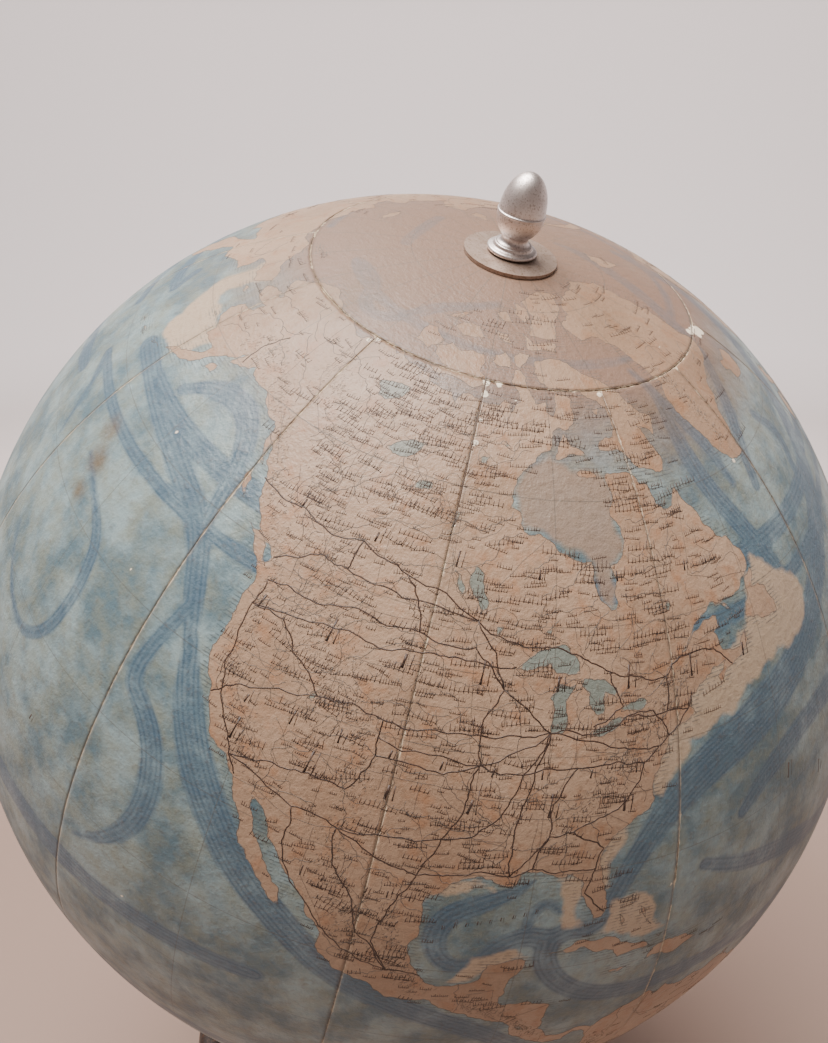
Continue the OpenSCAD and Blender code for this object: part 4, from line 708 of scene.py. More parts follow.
def bow(middle_r, middle_z, radius, start, stop, steps=10):
    """Points of an arc in a profile, from one angle to another in degrees."""
    angle = np.radians(np.linspace(start, stop, steps + 1))
    return np.stack((middle_r + radius * np.cos(angle), middle_z + radius * np.sin(angle)), 1)


def ribbons(name, lines, widths, finish, lift=INK_LIFT):
    """Printed lines as thin closed strips on the paper: each has a low ridge along its line and two feet half
    its width to either side, just under the surface."""
    joined = np.vstack(lines)
    counts = np.array([len(line) for line in lines])
    starts = np.concatenate(([0], np.cumsum(counts)[:-1]))
    stops = starts + counts - 1
    index = np.arange(len(joined))
    before, after = index - 1, index + 1
    before[starts] = starts
    after[stops] = stops
    width = np.repeat(np.asarray(widths, float), counts)[:, None] * MM / 2
    foot = on_paper(joined[:, 0], joined[:, 1], -0.02)
    ridge = on_paper(joined[:, 0], joined[:, 1], lift)
    along = foot[after] - foot[before]
    side = np.cross(along, ridge - foot)
    side /= np.linalg.norm(side, axis=1)[:, None].clip(1e-12)
    points = np.stack((foot + side * width, ridge, foot - side * width), 1).reshape(-1, 3)
    here = np.delete(index, stops)[:, None] * 3
    left = np.hstack((here, here + 3, here + 4, here + 1))
    right = np.hstack((here + 1, here + 4, here + 5, here + 2))
    under = np.hstack((here + 2, here + 5, here + 3, here))
    first = starts[:, None] * 3 + np.array([0, 1, 2])
    last = stops[:, None] * 3 + np.array([2, 1, 0])
    return put(name, points, [left, right, under, first, last], finish, "globe")


# ---------------------------------------------------------------- finishes


def add(tree, kind, feeds=None, out=0, **settings):
    """Adds one shader node with its settings, sets or links its inputs, and gives back one output."""
    made = tree.nodes.new("ShaderNode" + kind)
    for key, value in settings.items():
        setattr(made, key, value)
    for key, value in (feeds or {}).items():
        if isinstance(value, bpy.types.NodeSocket):
            tree.links.new(value, made.inputs[key])
        else:
            made.inputs[key].default_value = value
    return made.outputs[out]


def new_finish(name, settings):
    """A node material with a shader that has these plain settings: the material, its tree and the shader."""
    material = bpy.data.materials.new(name)
    material.use_nodes = True
    tree = material.node_tree
    tree.nodes.clear()
    output = tree.nodes.new("ShaderNodeOutputMaterial")
    shader = tree.nodes.new("ShaderNodeBsdfPrincipled")
    tree.links.new(shader.outputs["BSDF"], output.inputs["Surface"])
    for key, value in settings.items():
        shader.inputs[key].default_value = value
    return material, tree, shader


def stained_finish(name, settings, shades, patch_mm, grain_mm, rough, relief_mm, stretch=(1, 1, 1)):
    """The common build of the object's plainer surfaces: two shades that mingle in soft patches, a third in
    the hollows of a finer grain, and that grain as relief and as change of gloss."""
    material, tree, shader = new_finish(name, settings)
    place = add(tree, "TexCoord", out="Object")
    place = add(tree, "Mapping", {"Vector": place, "Scale": stretch})
    patch = add(tree, "TexNoise", {"Vector": place, "Scale": 1 / (patch_mm * MM), "Detail": 4.0})
    fine = {"Vector": place, "Scale": 1 / (grain_mm * MM), "Detail": 5.0, "Roughness": 0.6}
    grain = add(tree, "TexNoise", fine)
    share = add(tree, "MapRange", {0: patch, 1: 0.35, 2: 0.65})
    dip = add(tree, "MapRange", {0: grain, 1: 0.52, 2: 0.7})
    two = add(tree, "Mix", {0: share, 6: tint(shades[0]), 7: tint(shades[1])}, out=2, data_type="RGBA")
    three = add(tree, "Mix", {0: dip, 6: two, 7: tint(shades[2])}, out=2, data_type="RGBA")
    gloss = add(tree, "MapRange", {0: grain, 1: 0.3, 2: 0.7, 3: rough[0], 4: rough[1]})
    bump = add(tree, "Bump", {"Height": grain, "Distance": relief_mm * MM, "Strength": 1.0})
    tree.links.new(three, shader.inputs["Base Color"])
    tree.links.new(gloss, shader.inputs["Roughness"])
    tree.links.new(bump, shader.inputs["Normal"])
    return material


def map_paper_finish():
    """Map printed by lithography on thin rag paper, pasted on in gores and varnished with shellac, now a
    century old: flat tints with mottled edges, fine blue flow lines in the currents, a thin net of degrees,
    dull honey-coloured varnish that is uneven in gloss, and pale torn paper and dirt along the seams."""
    gloss = {"Specular IOR Level": 0.42, "Coat Weight": 0.2, "Coat Roughness": 0.38, "Coat IOR": 1.5}
    material, tree, shader = new_finish("printed_rag_paper_shellac", gloss)
    names = ("lon", "lat", "shrink", "coast", "lake", "bay", "shelf", "flow", "middle", "edge", "pale", "dirt",
             "stain", "bare")
    mark = {name: add(tree, "Attribute", out="Fac", attribute_name=name) for name in names}
    place = add(tree, "TexCoord", out="Object")
    # Each pattern's size in mm and its detail, from slow clouds of tint down to the paper's fibres.
    sizes = {
        "cloud": (38, 3.0), "blot": (13, 5.0), "mottle": (4.2, 6.0), "fleck": (1.3, 4.0), "fibre": (0.45, 3.0)
    }
    noise = {}
    for name, (mm, detail) in sizes.items():
        feeds = {"Vector": place, "Scale": 1 / (mm * MM), "Detail": detail, "Roughness": 0.6}
        noise[name] = add(tree, "TexNoise", feeds)

    # The net of degrees: how far the point is from the nearest line, in mm, across and along.
    climb = add(tree, "Math", {0: mark["lat"], 1: 0.1, 2: 0.5}, operation="MULTIPLY_ADD")
    climb = add(tree, "Math", {0: climb}, operation="FRACT")
    climb = add(tree, "Math", {0: climb, 1: 0.5}, operation="SUBTRACT")
    climb = add(tree, "Math", {0: climb}, operation="ABSOLUTE")
    climb = add(tree, "Math", {0: climb, 1: 10 * MM_PER_DEG}, operation="MULTIPLY")
    round_it = add(tree, "Math", {0: mark["lon"], 1: 1 / 15, 2: 0.5 - 2.34 / 15}, operation="MULTIPLY_ADD")
    round_it = add(tree, "Math", {0: round_it}, operation="FRACT")
    round_it = add(tree, "Math", {0: round_it, 1: 0.5}, operation="SUBTRACT")
    round_it = add(tree, "Math", {0: round_it}, operation="ABSOLUTE")
    round_it = add(tree, "Math", {0: round_it, 1: 15 * MM_PER_DEG}, operation="MULTIPLY")
    round_it = add(tree, "Math", {0: round_it, 1: mark["shrink"]}, operation="MULTIPLY")
    net = add(tree, "Math", {0: climb, 1: round_it}, operation="MINIMUM")
    net = add(tree, "MapRange", {0: net, 1: 0.05, 2: 0.14, 3: 0.5, 4: 0.0})

    # Flow lines in the currents, a millimetre apart, and short level strokes off the coasts.
    lines = add(tree, "Math", {0: mark["middle"], 1: 2 * math.pi / 0.95}, operation="MULTIPLY")
    lines = add(tree, "Math", {0: lines}, operation="SINE")
    lines = add(tree, "MapRange", {0: lines, 1: -0.6, 2: 0.9, 3: 0.0, 4: 1.0})
    wobble = add(tree, "Math", {0: noise["blot"], 1: 1.4, 2: -0.7}, operation="MULTIPLY_ADD")
    inside = add(tree, "Math", {0: mark["flow"], 1: wobble}, operation="ADD")
    band = add(tree, "MapRange", {0: inside, 1: -0.25, 2: 0.55})
    uneven = add(tree, "MapRange", {0: noise["mottle"], 1: 0.3, 2: 0.65, 3: 0.35, 4: 0.9})
    band = add(tree, "Math", {0: band, 1: uneven}, operation="MULTIPLY")
    faded = add(tree, "MapRange", {0: mark["lat"], 1: 62.0, 2: 72.0, 3: 1.0, 4: 0.55})
    band = add(tree, "Math", {0: band, 1: faded}, operation="MULTIPLY")
    stripe = add(tree, "Math", {0: band, 1: lines}, operation="MULTIPLY")
    stripe = add(tree, "Math", {0: stripe, 1: 0.7}, operation="MULTIPLY")
    stroke = add(tree, "Math", {0: mark["lat"], 1: MM_PER_DEG / 0.75}, operation="MULTIPLY")
    stroke = add(tree, "Math", {0: stroke}, operation="FRACT")
    stroke = add(tree, "MapRange", {0: stroke, 1: 0.26, 2: 0.4, 3: 0.6, 4: 0.0})
    near = add(tree, "MapRange", {0: mark["coast"], 1: -2.6, 2: -0.9})
    broken = add(tree, "MapRange", {0: noise["fleck"], 1: 0.44, 2: 0.52})
    stroke = add(tree, "Math", {0: stroke, 1: near}, operation="MULTIPLY")
    stroke = add(tree, "Math", {0: stroke, 1: broken}, operation="MULTIPLY")

    land = add(tree, "MapRange", {0: mark["coast"], 1: -0.12, 2: 0.12})
    lake = add(tree, "MapRange", {0: mark["lake"], 1: -0.1, 2: 0.1})
    bay = add(tree, "MapRange", {0: mark["bay"], 1: -0.6, 2: 0.6, 3: 0.0, 4: 0.85})
    jagged = add(tree, "Math", {0: noise["mottle"], 1: 2.4, 2: -1.2}, operation="MULTIPLY_ADD")
    shelf = add(tree, "Math", {0: mark["shelf"], 1: jagged}, operation="ADD")
    shelf = add(tree, "MapRange", {0: shelf, 1: -0.5, 2: 0.5, 3: 0.0, 4: 0.85})
    polar = add(tree, "MapRange", {0: mark["lat"], 1: 61.0, 2: 70.0, 3: 0.0, 4: 0.9})
    veil = add(tree, "MapRange", {0: mark["lat"], 1: 54.0, 2: 78.0, 3: 0.0, 4: 0.5})
    ochre = add(tree, "MapRange", {0: noise["mottle"], 1: 0.5, 2: 0.68, 3: 0.0, 4: 0.55})
    cloud = add(tree, "MapRange", {0: noise["cloud"], 1: 0.35, 2: 0.65})
    blot = add(tree, "MapRange", {0: noise["blot"], 1: 0.4, 2: 0.6})
    mottle = add(tree, "MapRange", {0: noise["mottle"], 1: 0.4, 2: 0.66, 3: 0.0, 4: 0.6})
    grime = add(tree, "MapRange", {0: noise["fleck"], 1: 0.55, 2: 0.72, 3: 0.0, 4: 0.28})

    # Torn, pale edges and the dirt beside them.
    rag = add(tree, "Math", {0: noise["fleck"], 1: 0.9, 2: -0.45}, operation="MULTIPLY_ADD")
    rim = add(tree, "Math", {0: mark["edge"], 1: rag}, operation="ADD")
    torn = add(tree, "MapRange", {0: rim, 1: 0.06, 2: 0.22, 3: 1.0, 4: 0.0})
    torn = add(tree, "Math", {0: torn, 1: mark["pale"]}, operation="MULTIPLY")
    whole = add(tree, "MapRange", {0: noise["mottle"], 1: 0.44, 2: 0.56, 3: 0.15, 4: 1.0})
    torn = add(tree, "Math", {0: torn, 1: whole}, operation="MULTIPLY")
    soil = add(tree, "MapRange", {0: rim, 1: 0.15, 2: 0.9, 3: 0.4, 4: 0.0})
    soil = add(tree, "Math", {0: soil, 1: mark["dirt"]}, operation="MULTIPLY")
    stain = add(tree, "Math", {0: mark["stain"], 1: noise["mottle"]}, operation="MULTIPLY")
    stain = add(tree, "MapRange", {0: stain, 1: 0.05, 2: 0.5, 3: 0.0, 4: 0.8})
    chip = add(tree, "Math", {0: noise["fleck"], 1: 0.9, 2: -0.45}, operation="MULTIPLY_ADD")
    chip = add(tree, "Math", {0: mark["bare"], 1: chip}, operation="ADD")
    chip = add(tree, "MapRange", {0: chip, 1: 0.42, 2: 0.5})

    # The layers as they lie, lowest first: where, and in which colour.
    settings = bpy.context.scene.globe_paper
    colour = tuple(settings.sea_light)
    layers = [
        (blot, "sea_deep"), (mottle, "sea_olive"), (polar, "polar"), (band, "current"),
        (stripe, "current_line"), (shelf, "shoal"), (stroke, "stroke"), (bay, "bay"), (land, None),
        (lake, "lake"), (veil, "veil"), (net, "net"),
        (grime, "grime"), (stain, "stain"), (soil, "soil"), (torn, "torn"), (chip, "chip"),
    ]
    ground = add(tree, "Mix", {0: cloud, 6: tuple(settings.land_light), 7: tint(PAINTS["land_brown"])}, out=2,
                 data_type="RGBA")
    ground = add(tree, "Mix", {0: ochre, 6: ground, 7: tint(PAINTS["land_ochre"])}, out=2, data_type="RGBA")
    for where, paint in layers:
        over = tint(PAINTS[paint]) if paint else ground
        colour = add(tree, "Mix", {0: where, 6: colour, 7: over}, out=2, data_type="RGBA")

    rough = add(tree, "MapRange", {0: noise["blot"], 1: 0.35, 2: 0.65, 3: 0.4, 4: 0.56})
    rough = add(tree, "Math", {0: chip, 1: 0.3, 2: rough}, operation="MULTIPLY_ADD")
    wrinkles = add(tree, "Math", {0: noise["mottle"], 1: 0.6, 2: noise["fleck"]}, operation="MULTIPLY_ADD")
    height = add(tree, "Math", {0: noise["fibre"], 1: 0.3, 2: wrinkles}, operation="MULTIPLY_ADD")
    bump = add(tree, "Bump", {"Height": height, "Distance": 0.2 * MM, "Strength": 1.0})
    tree.links.new(colour, shader.inputs["Base Color"])
    tree.links.new(rough, shader.inputs["Roughness"])
    tree.links.new(bump, shader.inputs["Normal"])
    tree.links.new(bump, shader.inputs["Coat Normal"])
    return material


# The plainer finishes: settings, three shades, patch and grain in mm, range of roughness, relief in mm.
PLAIN_FINISHES = {
    # Beech stained black and french polished: deep brown-black, a soft shine, paler where hands rub it.
    "ebonised_beech_polish": ({"Coat Weight": 0.35, "Coat Roughness": 0.18}, ("#1a1310", "#2f2018", "#5a3d28"),
                              16, 1.5, (0.26, 0.46), 0.08, (1.0, 1.0, 0.14)),
    # Raw beech in the core: pale pinkish tan with short fine flecks.
    "raw_beech": ({}, ("#b98f66", "#a67a52", "#8d6340"), 9, 1.0, (0.55, 0.7), 0.06),
    # Pulped paper pressed in a mould: grey-brown and lumpy.
    "papier_mache": ({}, ("#8d7a63", "#7d6b56", "#6a5946"), 8, 1.1, (0.8, 0.92), 0.2),
    # Strip of glued joint paper: plain cream, matt.
    "gummed_joint_paper": ({}, ("#c9bb9c", "#bfae8c", "#a99672"), 12, 0.8, (0.75, 0.85), 0.04),
    # Pressed wool felt under the foot: dark green with a fuzzy, dull surface.
    "wool_felt": ({"Sheen Weight": 0.5, "Sheen Roughness": 0.6}, ("#2f4a37", "#28402f", "#3b5843"),
                  7, 0.7, (0.9, 1.0), 0.25),
    # Oiled leather washer: dark tan with pores.
    "oiled_leather": ({}, ("#6b4a2f", "#5b3c25", "#432b1a"), 5, 0.6, (0.45, 0.65), 0.08),
    # Drawn steel rod, wiped with oil: grey with faint streaks.
    "drawn_steel": ({"Metallic": 1.0}, ("#a19d97", "#928e88", "#7d756b"), 6, 0.5, (0.25, 0.42), 0.01),
    # Nickel-plated brass, handled for a century: warm silver, clouded and lightly pitted.
    "nickelled_brass_worn": ({"Metallic": 1.0}, ("#eae3e0", "#dbd2ce", "#a3958d"), 3.5, 0.4, (0.34, 0.52), 0.03),
    # The same plating on the thin discs against the paper, dull with old varnish and handling; its tan shades are
    # partly tarnish and partly a painted reflection of the paper round it.
    "nickel_disc_tarnish_and_painted_reflection": ({"Metallic": 0.75}, ("#b09e92", "#a08c7e", "#75604f"), 2.5, 0.5, (0.42, 0.6), 0.03),
    # Cut iron nails: dark, with a bloom of rust.
    "cut_iron": ({"Metallic": 0.8}, ("#5f5a55", "#6b5343", "#4a4039"), 2.5, 0.4, (0.5, 0.7), 0.05),
    # Chalk and glue plaster under the paper: dirty cream, dark with old glue in the open seams.
    "chalk_plaster": ({}, ("#c2b196", "#8a745c", "#4d3a2c"), 9, 1.2, (0.75, 0.9), 0.08),
    # Printing ink of the coasts and rivers under varnish: thin, grey-brown, broken by the paper's grain.
    "grey_printing_ink": ({}, ("#4f4a47", "#5f574f", "#7d6e60"), 9, 0.9, (0.42, 0.56), 0.02),
    # Hide glue that has come up in the open seams and gone dark: brown, with a dull shine.
    "old_hide_glue": ({}, ("#3a271a", "#4c3423", "#5e452f"), 6, 0.8, (0.4, 0.6), 0.05),
    # Heavier brown-black ink of the railways and the lettering marks.
    "brown_printing_ink": ({}, ("#33241d", "#42312a", "#5c473a"), 9, 0.8, (0.42, 0.56), 0.02),
}
PLAIN_SLOTS = {
    "ebonised_beech_polish": ("base", "column"),
    "raw_beech": ("core_tube", "north_core_block", "south_core_block"),
    "papier_mache": ("upper_hemisphere", "lower_hemisphere"),
    "gummed_joint_paper": ("equator_tape",),
    "wool_felt": ("base_felt",),
    "oiled_leather": ("thrust_washer",),
    "drawn_steel": ("axis_rod", "rod_pin", "column_screw", "collar_set_screw"),
    "nickelled_brass_worn": ("rod_ferrule", "thrust_collar", "finial_seat", "finial_nut"),
    "nickel_disc_tarnish_and_painted_reflection": ("south_pole_bush", "north_pole_bush"),
    "cut_iron": ("north_core_nails", "south_core_nails"),
    "chalk_plaster": ("plaster_coat",),
}


def plain_finish(name):
    """The plain finish of that name, made once."""
    made = bpy.data.materials.get(name)
    return made or stained_finish(name, *PLAIN_FINISHES[name])


def dress(finish_name):
    """Gives every CAD node of one finish its material."""
    for node in PLAIN_SLOTS[finish_name]:
        mesh = NODES[node].data
        mesh.materials.clear()
        mesh.materials.append(plain_finish(finish_name))


# ---------------------------------------------------------------- settings and operators


class GlobePaperSettings(bpy.types.PropertyGroup):
    """The map's printed and aged colours."""

    sea_light: bpy.props.FloatVectorProperty(name="Sea", description="Main tint of the sea", size=4,
                                             default=tint("#889c9f"), subtype="COLOR")
    land_light: bpy.props.FloatVectorProperty(name="Land", description="Main tint of the land", size=4,
                                              default=tint("#b39880"), subtype="COLOR")
    ink_width: bpy.props.FloatProperty(name="Coast line", description="Width of the coast line, in mm",
                                       default=0.17, min=0.05, max=0.6)


class GlobeStageSettings(bpy.types.PropertyGroup):
    """Light and floor of the stage."""

    key_power: bpy.props.FloatProperty(name="Key light", description="Power of the big soft light",
                                       default=39.0, min=0, subtype="POWER", unit="POWER")
    wall_power: bpy.props.FloatProperty(name="Wall light", description="Power of the light on the backdrop",
                                        default=40.0, min=0, subtype="POWER", unit="POWER")
    floor_tint: bpy.props.FloatVectorProperty(name="Floor", description="Colour of the pale floor", size=4,
                                              default=tint("#ece5e4"), subtype="COLOR")


PAINTS = {
    "sea_deep": "#566e78", "sea_olive": "#7c806f", "shoal": "#bba388",
    "current": "#4e677a", "current_line": "#385365", "stroke": "#46545a", "bay": "#947e6d",
    "land_brown": "#9b7f68", "land_ochre": "#a06f4b", "lake": "#7f877f",
    "net": "#56544e", "polar": "#86695a", "veil": "#7d624c", "grime": "#5d4a38", "stain": "#64513a",
    "soil": "#584534", "torn": "#d9c7ab", "chip": "#e6dac6",
}
MAP = {}


def seam_wear(seam, lat):
    """Open gap, pale edge and dirt along a seam at each latitude, read between the rows of its table."""
    table = np.array(SEAM_WEAR.get(seam % GORES, PLAIN_SEAM))
    return [np.interp(lat, table[:, 0], table[:, column]) for column in (1, 2, 3)]


def map_numbers(lon, lat, edge, pale, dirt):
    """Everything that the paper's finish reads at each point of a piece."""
    read = {name: sample(field, lon, lat) for name, field in MAP["fields"].items()}
    read.update(lon=lon, lat=lat, shrink=np.cos(np.radians(lat)), edge=edge, pale=pale, dirt=dirt)
    read["stain"] = spots(lon, lat, numbers(STAINS, 4))
    read["bare"] = spots(lon, lat, numbers(BARE, 4))
    return read


class GLOBE_OT_print_gores(bpy.types.Operator):
    """Pastes the twelve printed gores on the ball: a grid of longitude and latitude, drawn in at its edges
    where a seam has opened"""

    bl_idname = "globe.print_gores"
    bl_label = "Printed gores"

    def execute(self, context):
        MAP.update(draw_map())
        finish = map_paper_finish()
        columns, rows, stride = 85, 393, 12
        dice = np.random.default_rng(5)
        across = np.linspace(0, 1, columns)
        for gore in range(GORES):
            west = FIRST_SEAM + GORE_SPAN * gore
            lat = np.linspace(-CAP_LAT + 0.02, CAP_LAT - 0.05, rows)
            jag = np.convolve(dice.uniform(-0.9, 2.9, rows + 4), np.ones(5) / 5, "valid").clip(0.1)
            wear = [seam_wear(gore, lat), seam_wear(gore + 1, lat)]
            scale = MM_PER_DEG * np.cos(np.radians(lat))
            left = west + wear[0][0] * jag * GAP_SHARE / scale
            right = west + GORE_SPAN - wear[1][0] * jag[::-1] * GAP_SHARE / scale
            lon = left[:, None] + (right - left)[:, None] * across
            tip = np.where(lat[:, None] > 60, 0.025 * np.sin(lon * 1.7) + 0.015 * np.sin(lon * 4.3), 0)
            high = lat[:, None] + tip * ((lat[:, None] - 60) / 10).clip(0, 1)
            to_left = (lon - left[:, None]) * scale[:, None]
            to_right = (right[:, None] - lon) * scale[:, None]
            to_end = (CAP_LAT - np.abs(high)) * MM_PER_DEG
            nearer = to_left < to_right
            pale = np.where(nearer, wear[0][1][:, None], wear[1][1][:, None])
            dirt = np.where(nearer, wear[0][2][:, None], wear[1][2][:, None])
            edge = np.minimum(to_left, to_right)
            rim = to_end < edge
            pale = np.where(rim, 1.0, pale)
            dirt = np.where(rim, 0.9, dirt)
            edge = np.minimum(edge, to_end)
            outer = on_paper(lon, high)
            inner = on_paper(lon, high, -PAPER_T + 0.02, flat=True)[:, ::stride]
            points, faces = sheet(outer, inner, False)
            fields = {
                name: np.concatenate((value.ravel(), value[:, ::stride].ravel()))
                for name, value in map_numbers(lon, high, edge, pale, dirt).items()
            }
            name = f"gore_paper_{gore + 1:02d}"
            piece = put(name, points, faces, finish, "globe", fields)
            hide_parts(f"gore_{gore + 1:02d}")
        return {"FINISHED"}


class GLOBE_OT_print_caps(bpy.types.Operator):
    """Lays the two round calottes over the gores' tips: rings of points from the axle out to the rim"""

    bl_idname = "globe.print_caps"
    bl_label = "Polar calottes"

    def execute(self, context):
        finish = bpy.data.materials["printed_rag_paper_shellac"]
        turns, rings = 420, 61
        hole = 90 - math.degrees(math.asin(BARREL_R / FLAT_R) * CAP_COLAT / FLAT_EDGE)
        lon = np.broadcast_to((np.arange(turns) * 360 / turns - 180)[:, None], (turns, rings))
        for name, side in (("north", 1), ("south", -1)):
            turn = np.radians(lon[:, :1])
            rim = CAP_LAT + 0.05 + 0.04 * np.sin(turn * 9) * np.sin(turn * 4)
            lat = side * (hole + (rim - hole) * np.linspace(0, 1, rings))
            edge = (np.abs(lat) - rim) * MM_PER_DEG
            outer = on_paper(lon, lat)
            inner = on_paper(lon, lat, -PAPER_T + 0.02, flat=True)[:, ::10]
            points, faces = sheet(outer, inner, True)
            ones = np.ones(lat.shape)
            fields = {
                key: np.concatenate((value.ravel(), value[:, ::10].ravel()))
                for key, value in map_numbers(lon, lat, edge, ones, 0.8 * ones).items()
            }
            piece = put(f"calotte_paper_{name}", points, faces, finish, "globe", fields)
            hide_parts(f"{name}_polar_cap")
        return {"FINISHED"}


def label(dice, lon, lat, lean, letters, tall):
    """A printed name with nothing to read in it: a row of short upright strokes of uneven height."""
    along = np.arange(letters) * tall * 0.5 + dice.uniform(-0.06, 0.06, letters)
    high = tall * dice.choice((0.6, 0.62, 1.0), letters)
    low = np.zeros(letters)
    tip = dice.uniform(0.0, 0.16, letters) * tall
    grow = math.cos(lean), math.sin(lean)
    shrink = MM_PER_DEG * math.cos(math.radians(lat))

    def spot(x, y):
        east = (x * grow[0] - y * grow[1]) / shrink
        north = (x * grow[1] + y * grow[0]) / MM_PER_DEG
        return np.stack((lon + east, lat + north), 1)

    return list(np.stack((spot(along, low), spot(along + tip, high)), 1))


# Rows of big widely set marks: first and last longitude, latitude at each, how many, and their height in mm.
BIG_ROWS = """-121.8 45.4 -61.4 44.9 8 4.2; -118.8 35.2 -79.2 35.1 6 4.4; -118.8 38.4 -78 38.2 9 2.6;
    -123.2 53.8 -67.8 53.4 6 2.9; -108.5 26.7 -98.6 26.9 6 2.2; -56.1 31 -28 17 5 3.6; -140.8 22.4 -150 3
    3 2.6; -95.2 24.6 -87 26.4 9 1.4; 30 60 110 60 8 3; 0 10 35 -5 7 3; 122 -24 146 -26 8 2.6; -64 -5 -50
    -22 9 2.8; 65 -20 95 -30 8 2.6; -30 -25 -5 -35 9 2.6; -160 -20 -120 -32 9 2.8; 75 30 108 34 4 3"""
# Mountain ranges, and how far their hill strokes spread to either side, in degrees.
RANGES = """-154 61.5 -149 63.3 -143 62 -137 60 -131 56.8 -127.5 53 -123.5 50.5 -121.5 48 -121.8 44 -121.5
    40.5 -119 37.5 -117 34.2; -136 66 -131 64.5 -127 61.5 -124.5 58 -120.5 54.5 -116 51.5 -113.5 48 -110
    44.5 -106.5 40.5 -105.8 37 -105.5 34; -118 48.5 -115.5 46 -114 44.5 -111.5 42 -111.5 39.5; -107 31.5
    -106 28 -104.5 25 -103.5 22; -100.5 26 -99.5 22.5 -97.5 19.5 -96 17; -86.5 33.5 -83.5 35.8 -81 37.5
    -78.8 39.8 -76 41.8 -73.8 44.2 -70.5 45.5; -85 80 -78 79 -72 75.5 -68 70 -64.5 67; -50 70 -47 66 -46
    62; -92 15.5 -88 14.5 -84 10; -76 6 -78 0 -77 -8 -70 -16 -68 -24 -70 -33 -72 -42; 6 45 10 46.5 14 47;
    35 38.5 44 39 50 35 56 30; 70 36 76 35 82 30.5 90 28; 78 42 88 46 98 51 110 55 130 57; 59 66 60 58 57
    52; -8 31.5 0 33.5 8 35.5; 38 12 37 4 34 -6 31 -14 29 -28; 131 -2 138 -4 145 -6.5"""
RANGE_REACH = (1.6, 2.2, 1.8, 1.6, 1.4, 1.4, 1.6, 1.6, 1.0, 1.4, 1.2, 1.8, 2.2, 3.0, 1.4, 1.2, 1.8, 1.0)


# Widths of the printed lines, in mm.
RIVER_W = 0.2
BORDER_W = 0.12
RAILWAY_W = 0.42
HILL_W = 0.11
STREAM_W = 0.15
NAME_LINE_W = 0.16

# Open seams with old glue in them: longitude and the two latitudes between which it shows, and the
# width of each strip in mm.
GLUED_SEAMS = ((-102.6, 56.6, 69.9), (-12.6, 61, 69.9), (-42.6, 50, 68.5), (-72.6, 27, 31))
GLUE_WIDTHS = (0.46, 0.4, 0.26, 0.2)


